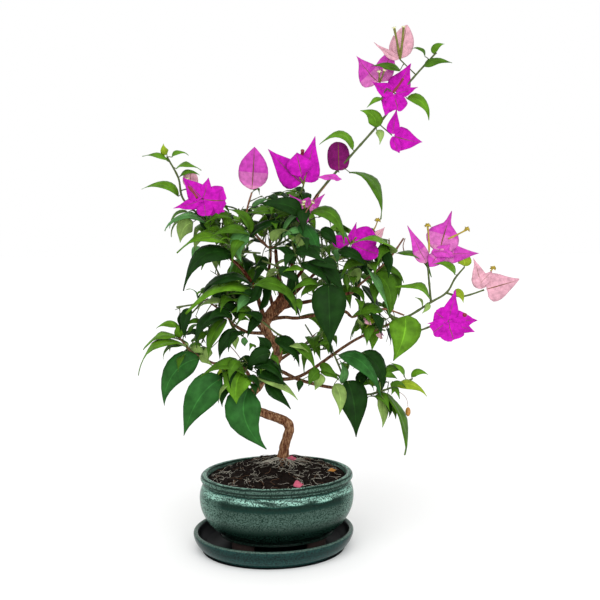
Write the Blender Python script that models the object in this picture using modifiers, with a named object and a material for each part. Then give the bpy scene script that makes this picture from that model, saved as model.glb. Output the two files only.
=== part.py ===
"""Bougainvillea bonsai: a bent trunk, boughs and leafy flowering masses in an oval glazed pot on a saucer.

Sizes are in millimetres and become metres in the functions. The row's origin lies on the saucer's flat
underside below the pot's middle, +Z is up and the pot's long axis is X. The tree has its own frame,
turned a little in the pot: across to the right of the front, up, and toward the front.
"""

import math
import random

import bmesh
import bpy
from mathutils import Matrix, Vector
from mathutils.bvhtree import BVHTree

MM = 0.001
GAP = 0.3
WELD = 0.0000012
LEVEL_WITHIN = math.radians(0.7)
MAIN_BODY_SHARE = 0.995
TREE_TURN = math.radians(-8)

# Pot, soil and saucer: profiles as half length and height, squeezed front to back
ROUND_STEPS = 36
POT_SQUEEZE = 0.775
SAUCER_SQUEEZE = 0.82
POT_INSIDE = ((0, 22), (54, 22), (68.5, 36), (72, 52), (70.8, 71), (71, 76.5))
POT_RIM = ((72.7, 78.3), (75.4, 78.4), (77.6, 76.6), (78, 73.4), (76.4, 71.8), (74.7, 71.2))
POT_BEAD = ((76.2, 70.4), (74.5, 69.4))
POT_BELLY = ((77, 65.5), (78.8, 59), (79.1, 52), (77.9, 44), (74.7, 36), (69.6, 28.5), (62.7, 22))
POT_UNDERSIDE = ((56.4, 17.5), (54.9, 16), (0, 16))
FOOT_AT = (37, 24)
FOOT_HALF = (14, 7)
FOOT_HEIGHT = 9.7
FOOT_SUNK = 2
FOOT_SIDES = 16
FOOT_TURN = math.radians(40)
BOSS_HEIGHT = 60
BOSS_RADIUS = 4.5
BOSS_LENGTH = 8
BOSS_STANDS_OUT = 1.4
BOSS_ROUNDING = 0.6
BOSS_SIDES = 14
BOSS_AT_RADIUS = 78.6
BOSS_TURN = math.radians(25)
SAUCER_FLOOR = 6
SAUCER_ASIDE = -3.4
SAUCER_INSIDE = ((0, SAUCER_FLOOR), (62, SAUCER_FLOOR), (70.5, 7.6), (75.4, 12.2), (77.6, 18))
SAUCER_RIM = ((79.4, 19.6), (81.4, 19.4), (82.4, 17.8))
SAUCER_OUTSIDE = ((82, 14.6), (80, 9.6), (76.2, 4.6), (71, 1), (68, 0), (0, 0))
SOIL_EDGE = 74
SOIL_TOP = 81
SOIL_RISE = 3
SOIL_HEAP = 9
SOIL_HEAP_ACROSS = 30
SOIL_RINGS = (70, 58, 46.5, 35, 23.5, 12.5)
SOIL_CLEAR = 0.4

# Trunk: line and radius from the ground to the fork
TRUNK = (
    (5.5, 78, -38, 8.0), (5.8, 86, -38, 5.9), (7.5, 97, -37, 5.0), (11, 108, -36, 5.0),
    (12.3, 115, -35, 5.0), (9, 121.5, -34, 5.1), (0, 126, -33, 4.8), (-10, 130, -32, 4.6),
    (-20, 134, -31, 4.6), (-28, 141, -30, 4.5), (-27.5, 152, -28, 4.5), (-21, 161, -26, 4.7),
    (-13, 173, -24, 4.7), (-4, 184, -22, 4.5), (1, 197, -20, 4.3), (-3, 208, -19, 4.2),
    (-9, 217, -18, 4.5), (-12, 229, -16, 5.0), (-7, 238, -15, 5.8), (1, 247, -14, 6.8), (7, 254, -13, 6.4),
    (11, 259, -12, 4.6),
)
TRUNK_SIDES = 8

# Boughs: radius at the foot and at the tip, then the line, which starts inside the trunk
BOUGHS = {
    "top": (2.5, 1.7, (8, 250, -12), (14, 279, -20), (19, 310, -18), (25, 333, -10), (41, 360, -4)),
    "crown": (2.2, 1.6, (4, 248, -13), (3, 272, -9), (0, 292, -8), (-1, 305, -8)),
    "right_high": (2.2, 1.5, (2, 245, -14), (24, 250, -19), (54, 256, -14), (74, 261, -10)),
    "right_mid": (1.9, 1.5, (-7, 234, -15), (8, 237, -4), (24, 237, 0), (64, 244, 2), (74, 239, 0)),
    "right_low": (2.2, 1.2, (-14, 171, -24), (10, 171, -18), (31, 179, -12), (77, 214, 4), (119, 235, 12)),
    "right_bottom": (2.0, 1.5, (-6, 182, -22), (6, 181, -4), (21, 176, 8), (43, 171, 15), (65, 168, 18)),
    "left_high": (2.4, 1.6, (-10, 228, -16), (-16, 246, -6), (-22, 267, 0), (-34, 286, 6), (-45, 297, 9)),
    "left_mid": (1.9, 1.5, (-8, 219, -17), (-21, 221, -4), (-31, 224, 7), (-42, 232, 16)),
    "left_low": (2.2, 1.5, (-20, 162, -26), (-28, 175, -10), (-36, 188, 4), (-60, 193, 14)),
    "front_low": (2.0, 1.5, (-28, 149, -29), (-30, 158, -8), (-32, 167, 12), (-34, 175, 26)),
    "front_mid": (1.7, 1.4, (0, 196, -20), (4, 206, 2), (8, 218, 20)),
    "front_high": (2.0, 1.5, (-3, 240, -14), (8, 258, 10), (18, 276, 30), (26, 288, 42)),
    "back_low": (2.0, 1.5, (-12, 175, -24), (0, 184, -48), (15, 191, -70)),
    "back_left": (2.2, 1.5, (-10, 217, -18), (-27, 231, -45), (-41, 249, -65)),
    "back_right": (2.2, 1.5, (1, 244, -14), (24, 264, -42), (43, 281, -60)),
    "back_high": (2.0, 1.5, (-2, 241, -14), (-10, 266, -40), (-8, 294, -58)),
}
BOUGH_SIDES = 6

# Twigs, leaves and bracts
TWIG_FOOT = 1.7
TWIG_TIP = 1.1
SIDE_TWIG_FOOT = 1.2
STEM_STRAIGHT = 3
SIDE_TWIG = 30
STALK_RADIUS = 1.1
LEAF_THICK = 0.9
LEAF_NECK = 0.42
KEEL_SHARE = 0.4
BLADE_ROWS = {
    "rule": ((0.38, 1),), "placed": ((0.28, 1), (0.64, 0.6)), "bract": ((0.36, 1), (0.74, 0.74)),
}
LEAF_WIDTH_RATIO = 0.44
BOW_TOWARD = 0.5
ARCH_LEVEL = 0.22
ARCH_HANGING = 0.08
ARCH_AT = 0.36
PETIOLE = 7
SPIRAL = math.radians(137.5)
TRIES = 12
TRY_SHRINKS = 0.93
PLACED_SHIFTS = (0, 5, -5, 10, -10, 16, -16)
CLEAR_OF_OTHERS = 0.45
SHOOT_SHARE = 0.8
STALK_SHORTEST = 2.5
BRACT_START = 0.06
BRACT_HOLLOW = 0.6

# Gaps through the crown, as across, up and radius in the tree's middle plane, and where they're seen from
EYE = (23.5, 340, 850)
GAPS = (
    (-20, 307, 6), (-9, 314, 5), (7, 311, 4), (-8, 296, 6), (32, 287, 6), (-52, 290, 6), (-67, 284, 7),
    (-80, 274, 8), (-89, 256, 6), (-67, 246, 7), (-78, 242, 6), (-48, 198, 4), (-40, 202, 5),
    (11, 192, 6), (20, 190, 4), (6, 224, 7), (22, 224, 9), (36, 229, 6), (52, 190, 5), (62, 194, 4),
    (76, 179, 5), (72, 230, 7), (92, 259, 6), (106, 204, 7), (45, 330, 6), (-18, 336, 5), (24, 213, 5),
    (-11, 367, 7), (6, 368, 6), (-36, 355, 7), (-22, 353, 4),
)

# What the rule deals out: ranges of a share, and how far a twig or leaf leans with its stem and up
SIDE_TWIG_REACH = (0.7, 1.2)
SIDE_TWIG_LEAN = 0.6
SIDE_TWIG_LIFT = 0.25
SIDE_TWIG_SWAY = 0.3
SIDE_TWIG_NEXT = 1.3
LEAF_REACH = (0.75, 1.15)
LEAF_SHORTENS = (1.1, 0.35)
LEAF_LEAN = 0.45
LEAF_LIFT = 0.15
LEAF_DROOP = (0.25, 0.75)
LEAF_SWAY = (-0.5, 0.5)
LEAF_TOWARD = (-0.2, 0.9)
LEAF_WIDTH = (0.4, 0.5)
LEAF_NEXT_LINE = 1.3
LEAF_NEXT = 1.1
PETIOLE_REACH = (0.6, 1.2)

# Masses. space: middle and half size of the room that the rule may fill, as across, up, toward.
# shoots: the stem from the bough's tip first, then those that branch off it.
# leaves: placed ones, as foot across and up, tip across, up and toward, the width that shows, and
# how far the midrib bows to the left of its run. blossoms: the middle, then each bract's tip and width.
MASSES = {
    "left_high": {
        "space": ((-62, 306, 6), (54, 40, 52)), "spacing": 12, "twigs": 26, "leaf": 46,
        "shoots": (
            ((-45, 297, 9), (-57, 316, 12), (-68, 333, 14), (-90, 355, 16), (-95, 376, 14), (-106, 396, 12)),
            ((-53, 310, 11), (-35, 318, 20), (-24, 324, 24)),
            ((-48, 302, 10), (-38, 306, 30)),
        ),
        "leaves": (
            (-106, 399, -109, 409, 14, 8), (-105, 392, -130, 397, 14, 5, -3),
            (-101, 396, -84, 399, 16, 5, 3), (-97, 385, -72, 383, 18, 6, 5),
            (-93, 377, -73, 379, 18, 5, 4), (-95, 358, -130, 365, 20, 9, -8),
            (-69, 333, -110, 327, 26, 8, -10), (-81, 333, -93, 313, 20, 17), (-66, 334, -64, 324, 24, 7),
            (-25, 323, -47, 347, 30, 9, -7), (-42, 336, -68, 333, 36, 8, -5),
            (-44, 307, -96, 305, 34, 9, -13), (-26, 320, -63, 319, 38, 9, -7),
            (-25, 322, -32, 296, 44, 18, -8), (-39, 301, -90, 269, 48, 18, -16),
            (-54, 299, -53, 289, 30, 5),
        ),
        "blossoms": (
            ((-70, 355, 26), (-87, 375, 34, 20), (-96, 347, 36, 13), (-49, 354, 38, 30),
             (-64, 375, 30, 16), (-48, 343, 40, 13), (-66, 341, 42, 16)),
            ((-84, 366, 18), (-82, 382, 20, 15)),
        ),
    },
    "crown": {
        "space": ((2, 322, 0), (56, 44, 46)), "spacing": 14, "twigs": 22, "leaf": 48,
        "shoots": (
            ((-1, 305, -8), (-10, 309, -2), (-27, 330, 8), (-29, 343, 8), (-24, 362, 6)),
            ((-2, 307, -7), (7, 320, -2), (16, 340, 4), (27, 369, 10)),
            ((7, 320, -2), (24, 330, 14), (35, 344, 18)),
            ((24, 330, 14), (31, 320, 21), (33, 311, 25)),
        ),
        "leaves": (
            (24, 341, -16, 351, 30, 16, -5), (-27, 340, 15, 340, 24, 7, 4), (-24, 320, 8, 336, 30, 9, 3),
            (25, 332, 44, 297, 40, 15, 3), (25, 326, 6, 319, 38, 8, -2), (34, 343, 67, 312, 36, 14, 12),
            (43, 324, 59, 309, 20, 12, 4), (33, 310, 15, 313, 29, 7, -3), (35, 306, 8, 295, 24, 11, -5),
            (-14, 298, -25, 273, 22, 10, 3),
        ),
        "blossoms": (
            ((-23, 362, 6), (-21, 406, 10, 30)),
            ((27, 369, 10), (-6, 402, 20, 28), (38, 416, 10, 26)),
            ((29, 343, 22), (13, 360, 26, 12), (32, 357, 24, 14), (47, 360, 26, 11), (23, 333, 30, 13)),
        ),
    },
    "top_spray": {
        "bough": "top", "space": ((48, 366, 0), (8, 8, 8)), "spacing": 16, "twigs": 60, "leaf": 30,
        "shoots": (
            ((41, 360, -4), (58, 381, 0), (77, 402, 4), (105, 434, 8), (128, 466, 10), (155, 496, 10)),
        ),
        "leaves": (
            (75, 404, 42, 409, 10, 10, -12), (72, 382, 106, 336, 20, 9, 12), (97, 425, 82, 441, 14, 15),
            (98, 422, 100, 408, 20, 8), (103, 452, 88, 443, 16, 5, -2), (127, 452, 149, 431, 20, 11, 6),
            (120, 479, 92, 484, 14, 8, -1), (143, 483, 170, 486, 14, 9, 3),
            (144, 492, 131, 500, 14, 4, -3), (152, 495, 163, 504, 12, 7, 3),
        ),
        "blossoms": (
            ((115, 457, 14), (130, 485, 14, 23), (93, 466, 24, 15), (135, 461, 26, 10),
             (105, 436, 26, 21), (117, 439, 28, 22)),
            ((120, 489, 12), (126, 523, 14, 21), (114, 513, 6, 15), (95, 504, 18, 8)),
            ((100, 466, 12), (78, 491, 18, 25), (113, 500, 6, 19)),
            ((113, 417, 12), (117, 442, 14, 13), (141, 410, 20, 24), (119, 400, 22, 10)),
            ((62, 382, 4), (61, 411, 6, 22)),
        ),
    },
    "right_high": {
        "space": ((98, 282, 0), (36, 36, 40)), "spacing": 12, "twigs": 24, "leaf": 42,
        "shoots": (
            ((74, 261, -10), (84, 270, -8), (96, 280, -5), (113, 297, 0), (127, 317, 0)),
            ((98, 285, -4), (89, 300, 8), (83, 308, 12)),
            ((113, 297, 0), (112, 315, 4)),
        ),
        "leaves": (
            (113, 302, 71, 315, 36, 5, -9), (121, 302, 155, 279, 10, 7, 10),
            (99, 281, 112, 239, 14, 20, 8), (86, 269, 108, 231, -2, 9, 3), (74, 264, 88, 252, 6, 7),
            (61, 305, 90, 289, 22, 11, 5), (90, 286, 111, 243, 22, 8, 3),
        ),
        "blossoms": (
            ((73, 312, 14), (56, 316, 24, 13), (98, 303, 32, 18), (97, 320, 22, 26), (79, 333, 12, 9)),
            ((98, 318, 12), (107, 328, 10, 9)),
        ),
    },
    "right_spray": {
        "bough": "right_low", "space": ((140, 246, 10), (8, 8, 8)), "spacing": 18, "twigs": 60, "leaf": 26,
        "shoots": (
            ((119, 235, 12), (134, 242, 14), (152, 254, 16), (168, 264, 16), (176, 278, 16), (185, 289, 16)),
            ((153, 254, 16), (150, 277, 18), (148, 294, 20)),
            ((168, 263, 16), (184, 260, 14), (206, 266, 10)),
            ((128, 239, 13), (136, 226, 18), (157, 233, 20)),
        ),
        "leaves": (
            (151, 258, 116, 270, 24, 8, -8), (175, 282, 153, 294, 22, 8, -5), (185, 290, 178, 302, 18, 14),
            (144, 250, 136, 260, 22, 3), (149, 254, 143, 244, 22, 6), (175, 265, 184, 254, 14, 8),
            (127, 241, 115, 198, 30, 33, 3),
        ),
        "blossoms": (
            ((147, 291, 20), (129, 329, 24, 15)),
            ((159, 303, 20), (172, 344, 14, 33), (197, 303, 24, 20), (150, 291, 26, 14)),
            ((207, 267, 10), (195, 297, 16, 17), (241, 277, 16, 29)),
            ((170, 236, 20), (176, 267, 22, 16), (196, 238, 28, 22), (192, 228, 32, 19),
             (149, 235, 30, 9), (157, 245, 24, 20), (153, 227, 34, 17), (172, 221, 36, 26)),
        ),
    },
    "right_mid": {
        "space": ((88, 232, 2), (38, 32, 40)), "spacing": 12, "twigs": 20, "leaf": 42,
        "shoots": (
            ((74, 239, 0), (91, 244, 6), (108, 247, 10), (127, 241, 12)),
            ((84, 241, 3), (83, 229, 14)),
        ),
        "leaves": (
            (105, 247, 73, 241, 18, 9, -3), (84, 243, 84, 222, 14, 13), (91, 229, 95, 204, 24, 15),
            (102, 234, 88, 231, 22, 8, -6),
        ),
        "blossoms": (
            ((97, 231, -14), (88, 235, -20, 8), (110, 216, -16, 10)),
        ),
    },
    "right_bottom": {
        "space": ((88, 166, 20), (48, 38, 34)), "spacing": 14, "twigs": 30, "leaf": 40,
        "shoots": (
            ((65, 168, 18), (79, 164, 20), (93, 163, 20), (111, 168, 18), (136, 177, 12)),
            ((68, 167, 19), (65, 184, 26), (57, 204, 30)),
            ((66, 180, 24), (54, 187, 28), (45, 188, 28)),
            ((100, 165, 19), (101, 175, 22), (105, 184, 24)),
        ),
        "leaves": (
            (61, 205, 102, 166, 44, 14, 11), (69, 204, 83, 190, 38, 11), (84, 206, 106, 164, 30, 14, 8),
            (70, 178, 78, 125, 40, 29, 3), (57, 175, 62, 146, 34, 14), (64, 175, 63, 199, 34, 9),
            (44, 187, 62, 178, 31, 9, 4), (44, 185, 38, 169, 30, 12), (105, 184, 120, 179, 24, 6, 2),
            (115, 176, 113, 164, 28, 8), (127, 180, 113, 195, 20, 4, -3), (135, 179, 152, 182, 16, 6, 5),
            (119, 172, 150, 163, 26, 8, 6), (107, 165, 107, 131, 28, 14, -1),
            (110, 163, 132, 104, 30, 9, 5), (95, 172, 87, 186, 24, 8), (54, 214, 38, 212, 34, 4, -4),
            (43, 188, 32, 174, 36, 12, -3), (43, 194, 59, 184, 36, 8, 2), (24, 179, 22, 168, 34, 7, 0),
        ),
        "blossoms": (),
    },
    "left_mid": {
        "space": ((-58, 244, 18), (42, 42, 40)), "spacing": 13, "twigs": 18, "leaf": 40,
        "shoots": (
            ((-42, 232, 16), (-47, 239, 20), (-57, 249, 22), (-69, 257, 20)),
            ((-43, 234, 17), (-31, 253, 24), (-22, 268, 26)),
            ((-46, 238, 19), (-42, 231, 27), (-32, 223, 33)),
            ((-52, 244, 21), (-49, 251, 24), (-48, 257, 26)),
        ),
        "leaves": (
            (-74, 234, -88, 232, 26, 5, -4), (-64, 210, -67, 197, 30, 9), (-23, 273, -76, 262, 38, 8, -14),
            (-25, 270, -87, 246, 44, 13, -13), (-49, 256, -77, 250, 31, 5, -5),
            (-45, 241, -80, 212, 38, 12, -12), (-68, 224, -79, 214, 34, 8, -3),
            (-49, 239, -66, 204, 46, 14, -4), (-37, 227, -55, 201, 42, 14, -5),
            (-29, 227, -46, 210, 48, 6, -6), (-39, 224, -39, 209, 30, 8), (-29, 221, -30, 212, 30, 7),
            (-25, 261, -46, 265, 42, 4, -4), (-24, 258, -36, 247, 44, 12), (-38, 239, -53, 253, 42, 9),
            (-28, 252, -44, 260, 40, 7, -3), (-29, 249, -44, 247, 42, 7, -2),
            (-28, 247, -36, 236, 44, 7, -2), (-14, 241, -28, 221, 30, 10, -3),
            (-18, 259, -36, 268, 36, 8, -4),
        ),
        "blossoms": (),
    },
    "left_low": {
        "space": ((-84, 202, 12), (34, 30, 34)), "spacing": 13, "twigs": 30, "leaf": 34,
        "shoots": (((-60, 193, 14), (-76, 200, 16), (-86, 207, 16), (-94, 216, 14), (-98, 220, 12)),),
        "leaves": (
            (-97, 230, -120, 229, 14, 6, -4), (-94, 220, -95, 234, 18, 10),
            (-98, 219, -133, 207, 14, 6, -8), (-89, 210, -138, 183, 24, 7, -16),
            (-85, 208, -69, 201, 20, 9), (-76, 199, -112, 152, 30, 26, -11), (-76, 199, -62, 191, 20, 8),
        ),
        "blossoms": (),
    },
    "front_low": {
        "space": ((-28, 178, 42), (40, 36, 28)), "spacing": 19, "twigs": 30, "leaf": 36,
        "shoots": (
            ((-34, 175, 26), (-39, 181, 32), (-48, 181, 36)),
            ((-35, 177, 29), (-31, 187, 36), (-23, 199, 40), (-8, 207, 40)),
            ((-33, 184, 34), (-38, 190, 38), (-43, 192, 38)),
            ((-35, 177, 29), (-25, 171, 35), (-11, 182, 36)),
        ),
        "leaves": (
            (-29, 185, -73, 188, 56, 10, -13), (-44, 192, -56, 185, 38, 7), (-32, 190, -37, 161, 54, 28),
            (-26, 173, -9, 115, 52, 36, -11), (-52, 183, -88, 128, 52, 31, -8),
            (-43, 180, -55, 165, 56, 4, -3), (-43, 175, -52, 156, 48, 9), (-42, 186, -57, 178, 42, 7),
            (-5, 207, -28, 191, 43, 17, -5), (-18, 190, 13, 175, 42, 11, 3), (-17, 184, 23, 163, 52, 7, 5),
            (-7, 182, 16, 155, 46, 13, -2), (-8, 210, -18, 223, 34, 12),
        ),
        "blossoms": (),
    },
    "front_mid": {
        "space": ((18, 216, 34), (18, 18, 18)), "spacing": 14, "twigs": 40, "leaf": 26,
        "shoots": (
            ((8, 218, 20), (12, 221, 28), (18, 217, 32)),
            ((11, 221, 26), (2, 225, 32), (-12, 237, 36)),
        ),
        "leaves": (
            (-14, 238, -31, 247, 40, 7, -4), (-1, 220, 24, 194, 40, 12, 7), (16, 214, 39, 191, 44, 9, 6),
            (14, 214, 32, 210, 36, 4, 3),
        ),
        "blossoms": (),
    },
    "front_high": {
        "space": ((20, 292, 48), (48, 34, 28)), "spacing": 12, "twigs": 24, "leaf": 42,
        "shoots": (
            ((26, 288, 42), (35, 290, 50), (49, 277, 54)),
            ((36, 290, 50), (47, 294, 54), (58, 293, 56)),
            ((26, 290, 43), (20, 302, 46), (16, 313, 44)),
            ((31, 290, 48), (8, 288, 56), (-14, 278, 54)),
        ),
        "leaves": (
            (50, 276, 52, 217, 66, 33, 0), (-20, 274, 25, 249, 64, 11, 12), (40, 276, 16, 269, 60, 7, -5),
            (20, 261, 24, 248, 58, 7), (59, 292, 27, 297, 56, 10, -2), (20, 306, 48, 296, 58, 11, 4),
            (26, 290, 7, 288, 50, 5, -2), (-6, 274, -17, 247, 34, 10, 2), (-14, 277, -29, 254, 32, 10, 3),
            (20, 285, 14, 257, 34, 10, -2), (8, 269, 24, 241, 30, 8, 3), (26, 296, 52, 275, 46, 10, 3),
            (44, 292, 66, 265, 44, 11, 3), (3, 289, 24, 275, 44, 10, 3), (41, 275, 23, 262, 50, 8, -3),
        ),
        "blossoms": (),
    },
    "back_low": {
        "space": ((20, 198, -76), (46, 36, 46)), "spacing": 11, "twigs": 20, "leaf": 42,
        "shoots": (
            ((15, 191, -70), (28, 197, -84), (40, 206, -98)),
            ((20, 193, -76), (2, 202, -88), (-12, 208, -96)),
            ((20, 193, -76), (38, 192, -76), (52, 194, -72)),
        ),
        "leaves": (),
        "blossoms": (),
    },
    "back_left": {
        "space": ((-52, 262, -66), (54, 50, 48)), "spacing": 11, "twigs": 20, "leaf": 46,
        "shoots": (
            ((-41, 249, -65), (-54, 262, -78), (-68, 276, -90)),
            ((-47, 255, -72), (-42, 278, -80), (-40, 298, -84)),
            ((-47, 255, -72), (-68, 250, -72), (-86, 246, -70)),
        ),
        "leaves": (),
        "blossoms": (),
    },
    "back_right": {
        "space": ((62, 284, -66), (52, 50, 48)), "spacing": 11, "twigs": 20, "leaf": 46,
        "shoots": (
            ((43, 281, -60), (60, 289, -72), (78, 296, -84)),
            ((51, 286, -69), (60, 268, -76), (70, 254, -78)),
            ((51, 286, -69), (48, 306, -76), (46, 322, -80)),
        ),
        "leaves": (),
        "blossoms": (),
    },
    "back_high": {
        "space": ((-4, 324, -54), (56, 44, 42)), "spacing": 11, "twigs": 20, "leaf": 44,
        "shoots": (
            ((-8, 294, -58), (-8, 318, -60), (-4, 342, -60)),
            ((-8, 304, -60), (-28, 318, -60), (-44, 328, -56)),
            ((-8, 304, -60), (14, 316, -66), (32, 328, -68)),
        ),
        "leaves": (),
        "blossoms": (),
    },
}

COLOURS = {
    "pot": (0.07, 0.19, 0.16, 1),
    "saucer": (0.03, 0.11, 0.13, 1),
    "soil": (0.013, 0.008, 0.006, 1),
    "limb": (0.25, 0.10, 0.055, 1),
    "mass": (0.02, 0.09, 0.015, 1),
}

part = bpy.data.collections.new("bougainvillea_bonsai")
taken = []


def clear_scene():
    for old in list(bpy.data.objects):
        bpy.data.objects.remove(old)
    bpy.context.scene.collection.children.link(part)


def place(spot):
    """A point of the tree's frame, across, up and toward, in the row's frame."""
    across, up, toward = spot
    c, s = math.cos(TREE_TURN), math.sin(TREE_TURN)
    return Vector((across * c + toward * s, across * s - toward * c, up)) * MM


def material(name, colour, roughness):
    new = bpy.data.materials.new(name)
    new.use_nodes = True
    shader = new.node_tree.nodes["Principled BSDF"]
    shader.inputs["Base Color"].default_value = COLOURS[colour]
    shader.inputs["Roughness"].default_value = roughness
    return new


def add(name, mesh, look):
    new = bpy.data.objects.new(name, mesh)
    part.objects.link(new)
    if look:
        mesh.materials.clear()
        mesh.materials.append(look)
    return new


def evaluated_mesh(thing):
    graph = bpy.context.evaluated_depsgraph_get()
    return bpy.data.meshes.new_from_object(thing.evaluated_get(graph))


def bodies_of(bm):
    """The faces of a mesh, gathered body by body."""
    left, bodies = set(bm.faces), []
    while left:
        body, fresh = set(), [left.pop()]
        while fresh:
            face = fresh.pop()
            body.add(face)
            for e in face.edges:
                for other in e.link_faces:
                    if other in left:
                        left.remove(other)
                        fresh.append(other)
        bodies.append(body)
    return bodies


def tidy_mesh(mesh, level=False):
    """Welds the caps, turns faces outward and keeps the one outer body without hollows or scraps."""
    bm = bmesh.new()
    bm.from_mesh(mesh)
    bmesh.ops.remove_doubles(bm, verts=bm.verts, dist=WELD)
    bmesh.ops.dissolve_degenerate(bm, edges=bm.edges, dist=WELD)
    if level:
        bmesh.ops.dissolve_limit(bm, angle_limit=LEVEL_WITHIN, verts=bm.verts, edges=bm.edges)
    bmesh.ops.triangulate(bm, faces=bm.faces)
    bodies = bodies_of(bm)
    if len(bodies) > 1:
        largest = max(bodies, key=lambda body: sum(f.calc_area() for f in body))
        spare = [f for body in bodies if body is not largest for f in body]
        bmesh.ops.delete(bm, geom=spare, context="FACES")
        loose = [v for v in bm.verts if not v.link_faces]
        bmesh.ops.delete(bm, geom=loose, context="VERTS")
    bmesh.ops.recalc_face_normals(bm, faces=bm.faces)
    if bm.calc_volume(signed=True) < 0:
        bmesh.ops.reverse_faces(bm, faces=bm.faces)
    bm.to_mesh(mesh)
    bm.free()
    return mesh


def boolean_mesh(base, operation, other, group, solver):
    mod = base.modifiers.new("Boolean", "BOOLEAN")
    mod.operation = operation
    mod.solver = solver
    if group:
        mod.operand_type = "COLLECTION"
        mod.collection = group
    else:
        mod.object = other
    mesh = evaluated_mesh(base)
    base.modifiers.clear()
    return mesh


def is_sound(mesh):
    """Whether a mesh is closed and nearly all of it is one body."""
    bm = bmesh.new()
    bm.from_mesh(mesh)
    bmesh.ops.remove_doubles(bm, verts=bm.verts, dist=WELD)
    bmesh.ops.dissolve_degenerate(bm, edges=bm.edges, dist=WELD)
    closed = bool(bm.faces) and all(len(e.link_faces) == 2 for e in bm.edges)
    areas = sorted(sum(f.calc_area() for f in body) for body in bodies_of(bm)) if closed else [0]
    bm.free()
    return closed and areas[-1] > MAIN_BODY_SHARE * sum(areas)


def boolean(base, operation, other=None, group=None):
    """Applies one Boolean to an object's mesh and removes what it was made with, if it came out sound."""
    others = list(group.objects) if group else [other]
    meshes = (boolean_mesh(base, operation, other, group, solver) for solver in ("EXACT", "MANIFOLD"))
    mesh = next((m for m in meshes if is_sound(m)), None)
    if mesh is None:
        return False
    base.data = tidy_mesh(mesh, True)
    for thing in others:
        bpy.data.objects.remove(thing)
    if group:
        bpy.data.collections.remove(group)
    return True


def turned(name, profile, squeeze, look):
    """Spins a profile round Z and squeezes it front to back into an oval."""
    mesh = bpy.data.meshes.new(name)
    points = [(x * MM, 0, z * MM) for x, z in profile]
    mesh.from_pydata(points, [(i, i + 1) for i in range(len(points) - 1)], [])
    line = add(name, mesh, None)
    mod = line.modifiers.new("Screw", "SCREW")
    mod.steps = ROUND_STEPS
    mod.render_steps = ROUND_STEPS
    mod.use_merge_vertices = True
    mod.merge_threshold = 0.00001
    spun = evaluated_mesh(line)
    bpy.data.objects.remove(line)
    spun.transform(Matrix.Diagonal((1, squeeze, 1, 1)))
    return add(name, tidy_mesh(spun), look)


def round_bar(name, radius, length, sides, bevel=0):
    """A short upright cylinder, its lower end bevelled if asked."""
    bm = bmesh.new()
    bmesh.ops.create_cone(
        bm, cap_ends=True, segments=sides, radius1=radius * MM, radius2=radius * MM, depth=length * MM
    )
    if bevel:
        rim = [e for e in bm.edges if all(v.co.z < 0 for v in e.verts)]
        bmesh.ops.bevel(bm, geom=rim, offset=bevel * MM, segments=1, affect="EDGES", profile=0.5, material=-1)
    mesh = bpy.data.meshes.new(name)
    bm.to_mesh(mesh)
    bm.free()
    return add(name, mesh, None)


def add_foot(side, front):
    """One oval foot, sunk into the pot's underside and clear of the saucer's floor."""
    foot = round_bar("foot", 1, FOOT_HEIGHT + FOOT_SUNK, FOOT_SIDES)
    middle = SAUCER_FLOOR + GAP + (FOOT_HEIGHT + FOOT_SUNK) / 2
    spot = Vector((side * FOOT_AT[0], front * FOOT_AT[1], middle))
    size = Matrix.Diagonal((FOOT_HALF[0], FOOT_HALF[1], 1, 1))
    turn = Matrix.Rotation(-side * front * FOOT_TURN, 4, "Z")
    foot.data.transform(Matrix.Translation(spot * MM) @ turn @ size)
    return foot


def add_boss(side):
    """One round boss on the belly, square to it, at either end of an axis turned to the front."""
    boss = round_bar("boss", BOSS_RADIUS, BOSS_LENGTH, BOSS_SIDES, BOSS_ROUNDING)
    c, s = side * math.cos(BOSS_TURN), side * math.sin(BOSS_TURN)
    out = Vector((c, s / POT_SQUEEZE, 0)).normalized()
    spot = Vector((c * BOSS_AT_RADIUS, s * BOSS_AT_RADIUS * POT_SQUEEZE, BOSS_HEIGHT))
    spot += out * (BOSS_STANDS_OUT - BOSS_LENGTH / 2)
    turn = (-out).to_track_quat("Z", "Y").to_matrix().to_4x4()
    boss.data.transform(Matrix.Translation(spot * MM) @ turn)
    return boss


def build_pot():
    profile = POT_INSIDE + POT_RIM + POT_BEAD + POT_BELLY + POT_UNDERSIDE
    pot = turned("pot", profile, POT_SQUEEZE, material("pot_glaze", "pot", 0.15))
    extras = bpy.data.collections.new("pot_extras")
    bpy.context.scene.collection.children.link(extras)
    for side in (1, -1):
        for front in (1, -1):
            extras.objects.link(add_foot(side, front))
        extras.objects.link(add_boss(side))
    boolean(pot, "UNION", group=extras)


def build_saucer():
    profile = SAUCER_INSIDE + SAUCER_RIM + SAUCER_OUTSIDE
    saucer = turned("saucer", profile, SAUCER_SQUEEZE, material("saucer_glaze", "saucer", 0.15))
    saucer.data.transform(Matrix.Translation((SAUCER_ASIDE * MM, 0, 0)))


def soil_height(x, y):
    """Height of the soil: heaped to a flat top round the trunk's foot, lower along the rim."""
    foot = place(TRUNK[0][:3]) / MM
    edge = math.hypot(x, y / POT_SQUEEZE) / SOIL_RINGS[0]
    near = math.exp(-((x - foot.x) ** 2 + (y - foot.y) ** 2) / (2 * SOIL_HEAP_ACROSS**2))
    return min(SOIL_TOP, SOIL_EDGE + SOIL_RISE * (1 - edge**2) + SOIL_HEAP * near)


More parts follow.
